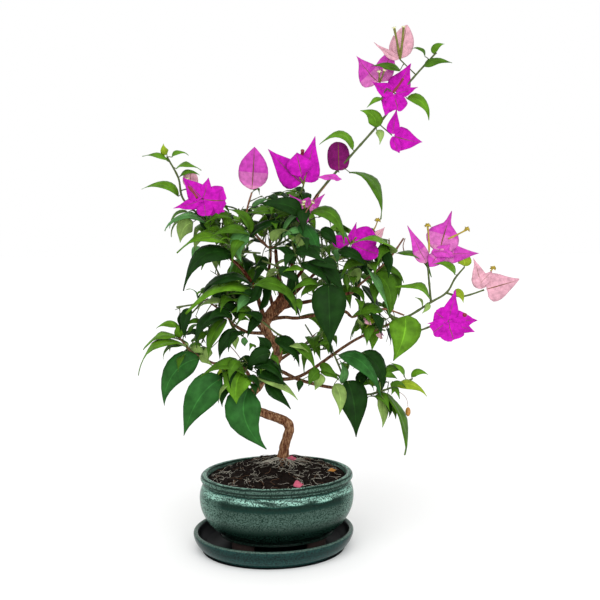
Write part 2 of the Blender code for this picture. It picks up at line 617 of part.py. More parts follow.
def build_soil():
    side = [(x - SOIL_CLEAR, z) for x, z in POT_INSIDE[1:5]]
    bottom = POT_INSIDE[0][1] + GAP
    side[0] = (side[0][0], bottom)
    profile = [(0, SOIL_EDGE)] + [(r, SOIL_EDGE) for r in reversed(SOIL_RINGS)] + side[::-1] + [(0, bottom)]
    soil = turned("soil", profile, POT_SQUEEZE, material("soil_mix", "soil", 0.95))
    for v in soil.data.vertices:
        if v.co.z > (SOIL_EDGE - 1) * MM:
            v.co.z = soil_height(v.co.x / MM, v.co.y / MM) * MM


def smooth_line(stations, steps):
    """Points on a smooth curve through the stations, which hold any count of numbers each."""
    ends = [stations[0]] + list(stations) + [stations[-1]]
    line = []
    for i in range(len(stations) - 1):
        p0, p1, p2, p3 = (Vector(ends[i + k]) for k in range(4))
        for k in range(steps):
            t = k / steps
            line.append(
                0.5 * (2 * p1 + (p2 - p0) * t + (2 * p0 - 5 * p1 + 4 * p2 - p3) * t**2
                       + (3 * p1 - p0 - 3 * p2 + p3) * t**3)
            )
    line.append(Vector(stations[-1]))
    return line


def triangle_section():
    """A three-sided outline of radius 1 for the twigs."""
    data = bpy.data.curves.new("twig_section", "CURVE")
    data.dimensions = "2D"
    spline = data.splines.new("POLY")
    spline.points.add(2)
    for i, point in enumerate(spline.points):
        angle = i * math.tau / 3
        point.co = (math.cos(angle), math.sin(angle), 0, 1)
    spline.use_cyclic_u = True
    return bpy.data.objects.new("twig_section", data)


def rod(name, line, radii, sides, look=None, section=None):
    """A tapering rod along a line of millimetre points of the tree's frame, capped at both ends."""
    data = bpy.data.curves.new(name, "CURVE")
    data.dimensions = "3D"
    data.use_fill_caps = True
    data.twist_mode = "MINIMUM"
    if section:
        data.bevel_mode = "OBJECT"
        data.bevel_object = section
    else:
        data.bevel_depth = 1
        data.bevel_resolution = sides // 2 - 2
    spline = data.splines.new("POLY")
    spline.points.add(len(line) - 1)
    for point, spot, radius in zip(spline.points, line, radii):
        point.co = (*place(spot), 1)
        point.radius = radius * MM
    curve = bpy.data.objects.new(name, data)
    part.objects.link(curve)
    mesh = evaluated_mesh(curve)
    bpy.data.objects.remove(curve)
    return add(name, tidy_mesh(mesh), look)


def steady(start, end, count):
    return [start + (end - start) * i / (count - 1) for i in range(count)]


def tree_of(mesh):
    mesh.calc_loop_triangles()
    spots = [v.co.copy() for v in mesh.vertices]
    return BVHTree.FromPolygons(spots, [tuple(t.vertices) for t in mesh.loop_triangles])


def box_of(spots):
    low = Vector([min(s[i] for s in spots) for i in range(3)])
    high = Vector([max(s[i] for s in spots) for i in range(3)])
    return low, high


def keep(node, spots, tree):
    taken.append((node, *box_of(spots), tree))


def is_clear(spots, faces, ignore=(), only=None):
    """Whether a shape crosses nothing that stands already, apart from what is ignored."""
    low, high = box_of(spots)
    tree = None
    for node, other_low, other_high, other in taken:
        if node in ignore or (only and node not in only):
            continue
        if any(low[i] > other_high[i] or high[i] < other_low[i] for i in range(3)):
            continue
        tree = tree or BVHTree.FromPolygons(spots, faces)
        if tree.overlap(other):
            return False
    return True


def cut_flat(thing, height):
    """Cuts an object off level at a height and closes the cut."""
    bm = bmesh.new()
    bm.from_mesh(thing.data)
    everything = bm.verts[:] + bm.edges[:] + bm.faces[:]
    made = bmesh.ops.bisect_plane(
        bm, geom=everything, plane_co=(0, 0, height * MM), plane_no=(0, 0, 1), clear_inner=True
    )
    bmesh.ops.edgeloop_fill(bm, edges=[e for e in made["geom_cut"] if isinstance(e, bmesh.types.BMEdge)])
    bm.to_mesh(thing.data)
    bm.free()
    tidy_mesh(thing.data)


def build_limbs():
    """The trunk, then each bough cut to sit just clear of the limbs that stand before it."""
    bark = material("bark", "limb", 0.8)
    line = smooth_line([s[:3] for s in TRUNK], 2)
    radii = [r[0] for r in smooth_line([(s[3], 0) for s in TRUNK], 2)]
    trunk = rod("trunk", line, radii, TRUNK_SIDES, bark)
    cut_flat(trunk, SOIL_TOP + GAP)
    lines = {"trunk": (line, radii, TRUNK_SIDES)}
    standing = {"trunk": tree_of(trunk.data)}
    keep("trunk", [v.co for v in trunk.data.vertices], standing["trunk"])
    for name, (foot, tip, *stations) in BOUGHS.items():
        node = name + "_bough"
        line = smooth_line(stations, 2 if len(stations) < 5 else 1)
        radii = steady(foot, tip, len(line))
        bough = rod(node, line, radii, BOUGH_SIDES, bark)
        for other, (cut_line, cut_radii, sides) in lines.items():
            if not tree_of(bough.data).overlap(standing[other]):
                continue
            end = cut_line[-1] + (cut_line[-1] - cut_line[-2]).normalized() * GAP
            wider = [r + GAP + 0.05 for r in cut_radii]
            cutter = rod("cutter", cut_line[:-1] + [end], wider, sides)
            boolean(bough, "DIFFERENCE", other=cutter)
        bough.data.materials.clear()
        bough.data.materials.append(bark)
        lines[node] = (line, radii, BOUGH_SIDES)
        standing[node] = tree_of(bough.data)
        keep(node, [v.co for v in bough.data.vertices], standing[node])
    return lines


def nearest(lines, spot):
    """The nearest point to a spot on a set of lines, and the line's direction there."""
    best = None
    for line in lines:
        for a, b in zip(line, line[1:]):
            run = b - a
            t = max(0, min(1, (spot - a).dot(run) / max(run.length_squared, 1e-6)))
            point = a + run * t
            away = (point - spot).length
            if best is None or away < best[0]:
                best = (away, point, run.normalized())
    return best[1], best[2]


def arched(foot, tip, face, share):
    """A point of a leaf's midrib, which rises from its foot and bends down to its tip."""
    chord = tip - foot
    bend = foot + chord * ARCH_AT + face * (2 * arch_height(chord))
    return foot * (1 - share) ** 2 + bend * (2 * share * (1 - share)) + tip * share**2


def arch_height(chord):
    level = Vector((chord.x, 0, chord.z)).length / chord.length
    return (ARCH_HANGING + ARCH_LEVEL * level) * chord.length


def blade(leaf, kind, spare=0.0):
    """Points and faces of a leaf or bract: a thin blade with a keel along the midrib, in metres.

    A leaf holds its foot on the twig, where the blade starts, its tip, the way its face looks, its
    width and how its face is held across the arch.
    """
    foot, start, tip, face, rise, width = leaf
    chord = (tip - start).normalized()
    side = chord.cross(face).normalized()
    rows = [(foot - face * 0.2, LEAF_NECK, 1.0)]
    for share, reach in BLADE_ROWS[kind]:
        rows.append((arched(start, tip, rise, share), width / 2 * reach, LEAF_THICK))
    spots = []
    for middle, reach, thick in rows:
        top = middle + face * (thick * KEEL_SHARE + spare)
        wide = side * (reach + spare)
        spots += [top - wide, top + wide, top - face * (thick + 2 * spare)]
    spots.append(tip + chord * spare)
    faces = [(0, 1, 2)]
    for row in range(0, 3 * (len(rows) - 1), 3):
        for k in range(3):
            a, b = row + k, row + (k + 1) % 3
            faces += [(a, a + 3, b + 3), (a, b + 3, b)]
    last = 3 * (len(rows) - 1)
    faces += [(last + k, last + 3, last + (k + 1) % 3) for k in range(3)]
    return [place(s) for s in spots], faces


def square_to(direction, wish):
    """The part of a wished direction that stands square to another one."""
    out = wish - direction * wish.dot(direction)
    if out.length < 0.05:
        out = direction.orthogonal()
    return out.normalized()


def placed_leaf(lines, foot_across, foot_up, tip_across, tip_up, tip_toward, shown, bow=None):
    """A leaf seen in the front view, turned so that it shows the width stated."""
    tip = Vector((tip_across, tip_up, tip_toward))
    flat = [[Vector((p.x, p.y, 0)) for p in line] for line in lines]
    near, _ = nearest(flat, Vector((foot_across, foot_up, 0)))
    spots = [p for line in lines for p in finer(line)]
    best = min(spots, key=lambda p: (Vector((p.x, p.y, 0)) - near).length)
    start = Vector((foot_across, foot_up, best.z * 0.7 + tip_toward * 0.3))
    chord = tip - start
    direction = chord.normalized()
    width = max(shown, LEAF_WIDTH_RATIO * chord.length)
    toward = square_to(direction, Vector((0, 0, 1)))
    over = square_to(direction, Vector((0.001 * tip_across, 1, 0)))
    over = (over - toward * over.dot(toward)).normalized()
    showing = shown / width
    face = (toward * showing + over * math.sqrt(max(0, 1 - showing**2))).normalized()
    if bow is None:
        rise = square_to(direction, Vector((0.01 * tip_across, 1, 0.4)))
    else:
        left = Vector((-direction.y, direction.x, 0)).normalized()
        rise = left * (bow / arch_height(chord)) + toward * BOW_TOWARD
    return best, start, tip, face, rise, width


def finer(line):
    return [a.lerp(b, k / 4) for a, b in zip(line, line[1:]) for k in range(4)] + [line[-1]]


def rule_leaf(rng, point, direction, turn, length):
    """A leaf that the rule grows from a point of a shoot, on its spiral round the shoot."""
    side = square_to(direction, Vector((0, 0, 1)))
    round_side = direction.cross(side)
    out = side * math.cos(turn) + round_side * math.sin(turn)
    way = (out + direction * LEAF_LEAN + Vector((0, LEAF_LIFT, 0))).normalized()
    start = point + way * PETIOLE * rng.uniform(*PETIOLE_REACH)
    droop = Vector((0, -rng.uniform(*LEAF_DROOP), 0))
    tip = start + (way + droop).normalized() * length
    chord = (tip - start).normalized()
    rise = square_to(chord, Vector((way.x * 0.3, 1, way.z * 0.3)))
    face = square_to(chord, Vector((rng.uniform(*LEAF_SWAY), 1, rng.uniform(*LEAF_TOWARD))))
    return point, start, tip, face, rise, length * rng.uniform(*LEAF_WIDTH)


def run_of(line):
    """The length run so far at each point of a line."""
    run = [0.0]
    for a, b in zip(line, line[1:]):
        run.append(run[-1] + (b - a).length)
    return run


def along(line, share):
    """The point at a share of a line's length, and the line's direction there."""
    run = run_of(line)
    at = run[-1] * share
    k = max(j for j in range(len(run) - 1) if run[j] <= at)
    step = line[k + 1] - line[k]
    return line[k] + step * ((at - run[k]) / step.length), step.normalized()


def in_space(space, spot):
    middle, half = space
    return sum(((s - m) / h) ** 2 for s, m, h in zip(spot, middle, half)) < 1


def in_gap(spot):
    """Whether a point is seen in one of the gaps."""
    eye = Vector(EYE)
    seen = eye + (spot - eye) * (eye.z / (eye.z - spot.z))
    return any(math.hypot(seen.x - across, seen.y - up) < radius for across, up, radius in GAPS)


def over_gap(leaf):
    """Whether a leaf would cover one of the gaps."""
    _, start, tip, face, rise, width = leaf
    side = (tip - start).cross(face).normalized() * (width / 2)
    middle = [arched(start, tip, rise, k / 4) for k in range(5)]
    return any(in_gap(spot) for spot in middle + [middle[1] - side, middle[1] + side])


def mesh_from(name, spots, faces):
    mesh = bpy.data.meshes.new(name)
    mesh.from_pydata(spots, [], faces)
    return add(name, tidy_mesh(mesh), None)


class Mass:
    """One mass of foliage: its shoots first, then blossoms and leaves, joined to one body."""

    def __init__(self, name, plan, limbs, section):
        self.name, self.plan, self.section = name, plan, section
        self.node = name + "_mass"
        self.bough = plan.get("bough", name) + "_bough"
        self.bough_line = limbs[self.bough][0]
        self.own = (self.node + " twig", self.node + " blade")
        self.lines, self.pieces = [], []

    def twig(self, stations, foot, tip, ignore):
        """Adds a twig if it's clear of everything outside the mass."""
        line = smooth_line(stations, 1)
        radii = steady(foot, tip, len(line))
        bar = rod("twig", line, radii, 3, None, self.section)
        spots = [v.co.copy() for v in bar.data.vertices]
        faces = [tuple(p.vertices) for p in bar.data.polygons]
        if not is_clear(spots, faces, ignore):
            bpy.data.objects.remove(bar)
            return False
        self.pieces.append(bar)
        self.lines.append(line)
        keep(self.own[0], spots, BVHTree.FromPolygons(spots, faces))
        return True

    def grow_shoots(self):
        for i, stations in enumerate(self.plan["shoots"]):
            stations = [Vector(s) for s in stations]
            ignore = self.own
            thick = TWIG_FOOT * SHOOT_SHARE
            if i == 0:
                end = self.bough_line[-1]
                way = (end - self.bough_line[-2]).normalized()
                stations = [end + way * (GAP + 0.05), end + way * STEM_STRAIGHT] + stations[1:]
                thick = TWIG_FOOT
                ignore = self.own + (self.bough,)
            else:
                stations[0] = nearest(self.lines, stations[0])[0]
            if not self.twig(stations, thick, TWIG_TIP, ignore):
                raise ValueError("shoot %d of %s crosses a limb or another mass" % (i, self.name))

    def grow_side_twigs(self):
        for i, line in enumerate(self.lines[: len(self.plan["shoots"])]):
            count = round(run_of(line)[-1] / self.plan["twigs"])
            for k in range(count):
                rng = random.Random("%s twig %d %d" % (self.name, i, k))
                point, way = along(line, (k + 0.8) / count)
                side = square_to(way, Vector((0, 0, 1)))
                reach = SIDE_TWIG * rng.uniform(*SIDE_TWIG_REACH)
                for attempt in range(TRIES):
                    turn = k * SPIRAL + i + rng.uniform(-SIDE_TWIG_SWAY, SIDE_TWIG_SWAY)
                    turn += attempt * SIDE_TWIG_NEXT
                    out = side * math.cos(turn) + way.cross(side) * math.sin(turn)
                    out += way * SIDE_TWIG_LEAN + Vector((0, SIDE_TWIG_LIFT, 0))
                    tip = point + out.normalized() * reach
                    if not in_space(self.plan["space"], tip) or in_gap(tip) or in_gap(point.lerp(tip, 0.5)):
                        continue
                    if self.twig([point, tip], SIDE_TWIG_FOOT, TWIG_TIP, self.own[:1]):
                        break

    def add_blade(self, leaf, kind, apart=True):
        spots, faces = blade(leaf, kind)
        wide = blade(leaf, kind, CLEAR_OF_OTHERS)
        if not is_clear(*wide, self.own):
            return False
        outer = [tuple(i - 3 for i in f) for f in faces if min(f) >= 3]
        if apart and not is_clear(spots[3:], outer, only=self.own):
            return False
        self.pieces.append(mesh_from(kind, spots, faces))
        keep(self.own[1], spots, BVHTree.FromPolygons(spots, faces))
        return True

    def grow_blossoms(self):
        for middle, *tips in self.plan["blossoms"]:
            middle = Vector(middle)
            foot, _ = nearest(self.lines, middle)
            if (foot - middle).length < STALK_SHORTEST:
                middle = foot
            else:
                self.twig([foot, middle], STALK_RADIUS, STALK_RADIUS, self.own)
            for *tip, width in tips:
                tip = Vector(tip)
                way = (tip - middle).normalized()
                face = square_to(way, Vector((0, 0.15, 1)))
                start = middle.lerp(tip, BRACT_START)
                self.add_blade((middle, start, tip, face, face * -BRACT_HOLLOW, width), "bract", False)

    def grow_placed_leaves(self):
        for leaf in self.plan["leaves"]:
            *seen, toward, shown, bow = leaf if len(leaf) > 6 else leaf + (None,)
            for shift in PLACED_SHIFTS:
                if self.add_blade(placed_leaf(self.lines, *seen, toward + shift, shown, bow), "placed"):
                    break

    def grow_rule_leaves(self):
        for i, line in enumerate(self.lines):
            count = max(2, round(run_of(line)[-1] / self.plan["spacing"]))
            for k in range(count):
                rng = random.Random("%s %d %d" % (self.name, i, k))
                share = (k + 0.97) / count
                point, way = along(line, share)
                length = self.plan["leaf"] * rng.uniform(*LEAF_REACH)
                length *= LEAF_SHORTENS[0] - LEAF_SHORTENS[1] * share
                for attempt in range(TRIES):
                    turn = k * SPIRAL + i * LEAF_NEXT_LINE + attempt * LEAF_NEXT
                    leaf = rule_leaf(rng, point, way, turn, length * TRY_SHRINKS**attempt)
                    if not in_space(self.plan["space"], leaf[2]) or over_gap(leaf):
                        continue
                    if self.add_blade(leaf, "rule"):
                        break

    def join(self, look):
        """Joins all pieces to one body, without the blades that would leave the union open."""
        base, *rest = self.pieces
        group = bpy.data.collections.new(self.node + "_pieces")
        bpy.context.scene.collection.children.link(group)
        for piece in rest:
            group.objects.link(piece)
        if not is_sound(boolean_mesh(base, "UNION", None, group, "EXACT")):
            for piece in rest:
                group.objects.unlink(piece)
            for piece in rest:
                group.objects.link(piece)
                if not is_sound(boolean_mesh(base, "UNION", None, group, "EXACT")):
                    group.objects.unlink(piece)
                    bpy.data.objects.remove(piece)
        if not boolean(base, "UNION", group=group):
            raise ValueError(self.node + " is left open by its union")
        base.name = self.node
        base.data.name = self.node
        base.data.materials.clear()
        base.data.materials.append(look)


def build_masses(limbs):
    leafage = material("leafage", "mass", 0.5)
    section = triangle_section()
    masses = [Mass(name, plan, limbs, section) for name, plan in MASSES.items()]
    for step in ("shoots", "blossoms", "placed_leaves", "side_twigs", "rule_leaves"):
        for mass in masses:
            getattr(mass, "grow_" + step)()
    for mass in masses:
        mass.join(leafage)
    bpy.data.objects.remove(section)


def main():
    clear_scene()
    build_saucer()
    build_pot()
    build_soil()
    build_masses(build_limbs())


main()
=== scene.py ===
"""Bougainvillea bonsai: bark, twigs, leaves and papery blossoms over soil in an oval glazed pot.

The tree has its own frame, in millimetres, turned a little in the pot: across to the right of the
front, up, and toward the front. place() brings a point of it to the row's frame in metres.
"""

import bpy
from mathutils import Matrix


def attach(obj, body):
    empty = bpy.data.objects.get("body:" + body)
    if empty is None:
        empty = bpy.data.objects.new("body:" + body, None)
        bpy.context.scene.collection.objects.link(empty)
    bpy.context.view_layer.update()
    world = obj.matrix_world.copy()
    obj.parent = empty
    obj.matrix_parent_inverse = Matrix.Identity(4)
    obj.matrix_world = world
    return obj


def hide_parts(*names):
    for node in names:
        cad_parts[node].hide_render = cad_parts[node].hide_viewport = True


bl_info = {
    "name": "Bougainvillea Bonsai",
    "version": (1, 0, 0),
    "blender": (4, 5, 0),
    "location": "3D View > Sidebar > Bonsai",
    "description": "Builds a flowering bougainvillea bonsai with its glazed pot, saucer and a white stage",
    "category": "Object",
}

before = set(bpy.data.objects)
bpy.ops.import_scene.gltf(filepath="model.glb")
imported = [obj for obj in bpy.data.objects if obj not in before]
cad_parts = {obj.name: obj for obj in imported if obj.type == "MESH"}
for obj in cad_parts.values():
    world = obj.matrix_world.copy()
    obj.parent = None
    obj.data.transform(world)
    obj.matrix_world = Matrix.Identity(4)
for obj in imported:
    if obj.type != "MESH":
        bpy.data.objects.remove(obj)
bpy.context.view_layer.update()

import functools
import math
import random

import bmesh
import bpy
from bpy.props import FloatProperty, FloatVectorProperty, IntProperty, PointerProperty
from mathutils import Matrix, Vector, noise
from mathutils.bvhtree import BVHTree

MM = 0.001
TREE_TURN = math.radians(-8)

# Room between one solid and the next
GAP = 0.3

# Pot, soil and saucer: profiles as half length and height, squeezed front to back
POT_SQUEEZE = 0.775
SAUCER_SQUEEZE = 0.82
POT_INSIDE = ((0, 22), (54, 22), (68.5, 36), (72, 52), (70.8, 71), (71, 76.5))
POT_RIM = ((72.7, 78.3), (75.4, 78.4), (77.6, 76.6), (78, 73.4), (76.4, 71.8), (74.7, 71.2))
POT_BEAD = ((76.2, 70.4), (74.5, 69.4))
POT_BELLY = ((77, 65.5), (78.8, 59), (79.1, 52), (77.9, 44), (74.7, 36), (69.6, 28.5), (62.7, 22))
POT_UNDERSIDE = ((56.4, 17.5), (54.9, 16), (0, 16))
SAUCER_INSIDE = ((0, 6), (62, 6), (70.5, 7.6), (75.4, 12.2), (77.6, 18))
SAUCER_RIM = ((79.4, 19.6), (81.4, 19.4), (82.4, 17.8))
SAUCER_OUTSIDE = ((82, 14.6), (80, 9.6), (76.2, 4.6), (71, 1), (68, 0), (0, 0))
SAUCER_ASIDE = -3.4
SAUCER_FLOOR = 6
FOOT_AT = (37, 24)
FOOT_HALF = (14, 7)
FOOT_HEIGHT = 9.7
FOOT_TURN = math.radians(40)
BOSS_HEIGHT = 60
BOSS_AT_RADIUS = 78.6
BOSS_TURN = math.radians(25)
BOSS_PETALS_FROM = 2.5
BOSS_PETALS = 8
BOSS_PETAL_LIFT = 0.35
BOSS_PROFILE = (
    (0, 1.2), (0.9, 1.0), (1.3, 0.2), (1.9, 0.1), (2.5, 0.9), (3.3, 1.2), (4.0, 0.8), (4.4, -0.2),
    (4.4, -4), (0, -4),
)
SOIL_EDGE = 74
SOIL_TOP = 81
SOIL_ACROSS = 70
SOIL_HEAP_ACROSS = 30
SOIL_RINGS = 30
CRUMBS = 420
CRUMB_SIZE = (0.6, 1.9)
FIBRES = 260
TRUNK_ROOTS = 30
FIBRE_STEPS = 7

# Glaze by height on the pot: colours with how pale each is, where dark runs show, and fine grooves.
# The bands paint light into the glaze: the pale band round the shoulder is a painted reflection and
# the dark teal round it partly one, the dark bands low on the belly and the dark groove lines are
# darker glaze with painted shade, and the palest line at the top of the rim is a painted highlight
GLAZE_LOW = 16
GLAZE_HIGH = 79
GLAZE_BANDS = (
    (20, "dark", 0.2), (31, "dark", 0.35), (36, "light", 0.2), (45, "light", 0.54), (54, "light", 0.4),
    (56.5, "teal", 0.3), (60.5, "dark", 0.6), (61.5, "teal", 0.8), (62.5, "pool", 1), (67, "pool", 1),
    (68.3, "teal", 1), (69, "dark", 0.6), (70, "light", 1.2), (71.2, "light", 0.8), (71.8, "dark", 0.6),
    (73.2, "light", 0.55), (76.2, "light", 0.65), (77, "dark", 0.8), (77.9, "dark", 0.8),
    (78.5, "light", 1.5),
)
GLAZE_RUNS = ((58, 0), (61, 0.9), (66, 0.9), (69, 0))
# Dark lines in the grooves: darker glaze with painted shade
GLAZE_GROOVES = (
    (68.8, 0), (69.4, 0.95), (70.2, 0.95), (70.6, 0), (72.4, 0), (72.9, 0.9), (73.7, 0.9), (74.1, 0),
    (76.7, 0), (77.1, 0.85), (77.7, 0.85), (78.1, 0),
)
GLAZE_DRIFT = 1.5
# Painted rim light: across the pot, in millimetres from its middle, where its ends start to be painted
# paler and where that is full
GLAZE_PAINTED_RIM_LIGHT_FROM = 58
GLAZE_PAINTED_RIM_LIGHT_TO = 79
SAUCER_HEIGHT = 20
# Saucer's glaze by height, as shares of SAUCER_HEIGHT: painted paler low on the wall against the shade
# where it curves under, darker just under the rim, and a pale edge that is partly glaze running thin and
# partly a painted highlight
SAUCER_BANDS = (
    (0.0, "saucer", 1.8), (0.4, "saucer", 1.5), (0.6, "saucer", 0.8), (0.8, "saucer", 1),
    (0.91, "saucer", 1.2), (0.95, "light", 0.6),
)

# Trunk: line and radius from the ground to the fork
TRUNK = (
    (5.5, 78, -38, 8.0), (5.8, 86, -38, 5.9), (7.5, 97, -37, 5.0), (11, 108, -36, 5.0),
    (12.3, 115, -35, 5.0), (9, 121.5, -34, 5.1), (0, 126, -33, 4.8), (-10, 130, -32, 4.6),
    (-20, 134, -31, 4.6), (-28, 141, -30, 4.5), (-27.5, 152, -28, 4.5), (-21, 161, -26, 4.7),
    (-13, 173, -24, 4.7), (-4, 184, -22, 4.5), (1, 197, -20, 4.3), (-3, 208, -19, 4.2),
    (-9, 217, -18, 4.5), (-12, 229, -16, 5.0), (-7, 238, -15, 5.8), (1, 247, -14, 6.8), (7, 254, -13, 6.4),
    (11, 259, -12, 4.6),
)

# Boughs: radius at the foot and at the tip, then the line, which starts inside the trunk
BOUGHS = {
    "top": (2.5, 1.7, (8, 250, -12), (14, 279, -20), (19, 310, -18), (25, 333, -10), (41, 360, -4)),
    "crown": (2.2, 1.6, (4, 248, -13), (3, 272, -9), (0, 292, -8), (-1, 305, -8)),
    "right_high": (2.2, 1.5, (2, 245, -14), (24, 250, -19), (54, 256, -14), (74, 261, -10)),
    "right_mid": (1.9, 1.5, (-7, 234, -15), (8, 237, -4), (24, 237, 0), (64, 244, 2), (74, 239, 0)),
    "right_low": (2.2, 1.2, (-14, 171, -24), (10, 171, -18), (31, 179, -12), (77, 214, 4), (119, 235, 12)),
    "right_bottom": (2.0, 1.5, (-6, 182, -22), (6, 181, -4), (21, 176, 8), (43, 171, 15), (65, 168, 18)),
    "left_high": (2.4, 1.6, (-10, 228, -16), (-16, 246, -6), (-22, 267, 0), (-34, 286, 6), (-45, 297, 9)),
    "left_mid": (1.9, 1.5, (-8, 219, -17), (-21, 221, -4), (-31, 224, 7), (-42, 232, 16)),
    "left_low": (2.2, 1.5, (-20, 162, -26), (-28, 175, -10), (-36, 188, 4), (-60, 193, 14)),
    "front_low": (2.0, 1.5, (-28, 149, -29), (-30, 158, -8), (-32, 167, 12), (-34, 175, 26)),
    "front_mid": (1.7, 1.4, (0, 196, -20), (4, 206, 2), (8, 218, 20)),
    "front_high": (2.0, 1.5, (-3, 240, -14), (8, 258, 10), (18, 276, 30), (26, 288, 42)),
    "back_low": (2.0, 1.5, (-12, 175, -24), (0, 184, -48), (15, 191, -70)),
    "back_left": (2.2, 1.5, (-10, 217, -18), (-27, 231, -45), (-41, 249, -65)),
    "back_right": (2.2, 1.5, (1, 244, -14), (24, 264, -42), (43, 281, -60)),
    "back_high": (2.0, 1.5, (-2, 241, -14), (-10, 266, -40), (-8, 294, -58)),
}

# Twigs, leaves and bracts, as the solids have them
TWIG_FOOT = 1.7
TWIG_TIP = 1.1
SIDE_TWIG_FOOT = 1.2
STEM_STRAIGHT = 3
SIDE_TWIG = 30
STALK_RADIUS = 1.1
SIDE_WISH = Vector((0.2, 1, 0.1))
LEAF_THICK = 0.9
LEAF_NECK = 0.42
KEEL_SHARE = 0.4
BLADE_ROWS = {
    "rule": ((0.38, 1),), "placed": ((0.28, 1), (0.64, 0.6)),
    "bract": ((0.36, 1), (0.74, 0.74)),
}
LEAF_WIDTH_RATIO = 0.44
BOW_TOWARD = 0.5
ARCH_LEVEL = 0.22
ARCH_HANGING = 0.08
ARCH_AT = 0.36
PETIOLE = 7
SPIRAL = math.radians(137.5)
TRIES = 12
TRY_SHRINKS = 0.93
PLACED_SHIFTS = (0, 5, -5, 10, -10, 16, -16)
CLEAR_OF_OTHERS = 0.45
SHOOT_SHARE = 0.8
STALK_SHORTEST = 2.5
BRACT_START = 0.06
BRACT_HOLLOW = 0.6

# What the rule deals out: ranges of a share, and how far a twig or leaf leans with its stem and up
SIDE_TWIG_REACH = (0.7, 1.2)
SIDE_TWIG_LEAN = 0.6
SIDE_TWIG_LIFT = 0.25
SIDE_TWIG_SWAY = 0.3
SIDE_TWIG_NEXT = 1.3
LEAF_REACH = (0.75, 1.15)
LEAF_SHORTENS = (1.1, 0.35)
LEAF_LEAN = 0.45
LEAF_LIFT = 0.15
LEAF_DROOP = (0.25, 0.75)
LEAF_SWAY = (-0.5, 0.5)
LEAF_TOWARD = (-0.2, 0.9)
LEAF_WIDTH = (0.4, 0.5)
LEAF_NEXT_LINE = 1.3
LEAF_NEXT = 1.1
PETIOLE_REACH = (0.6, 1.2)
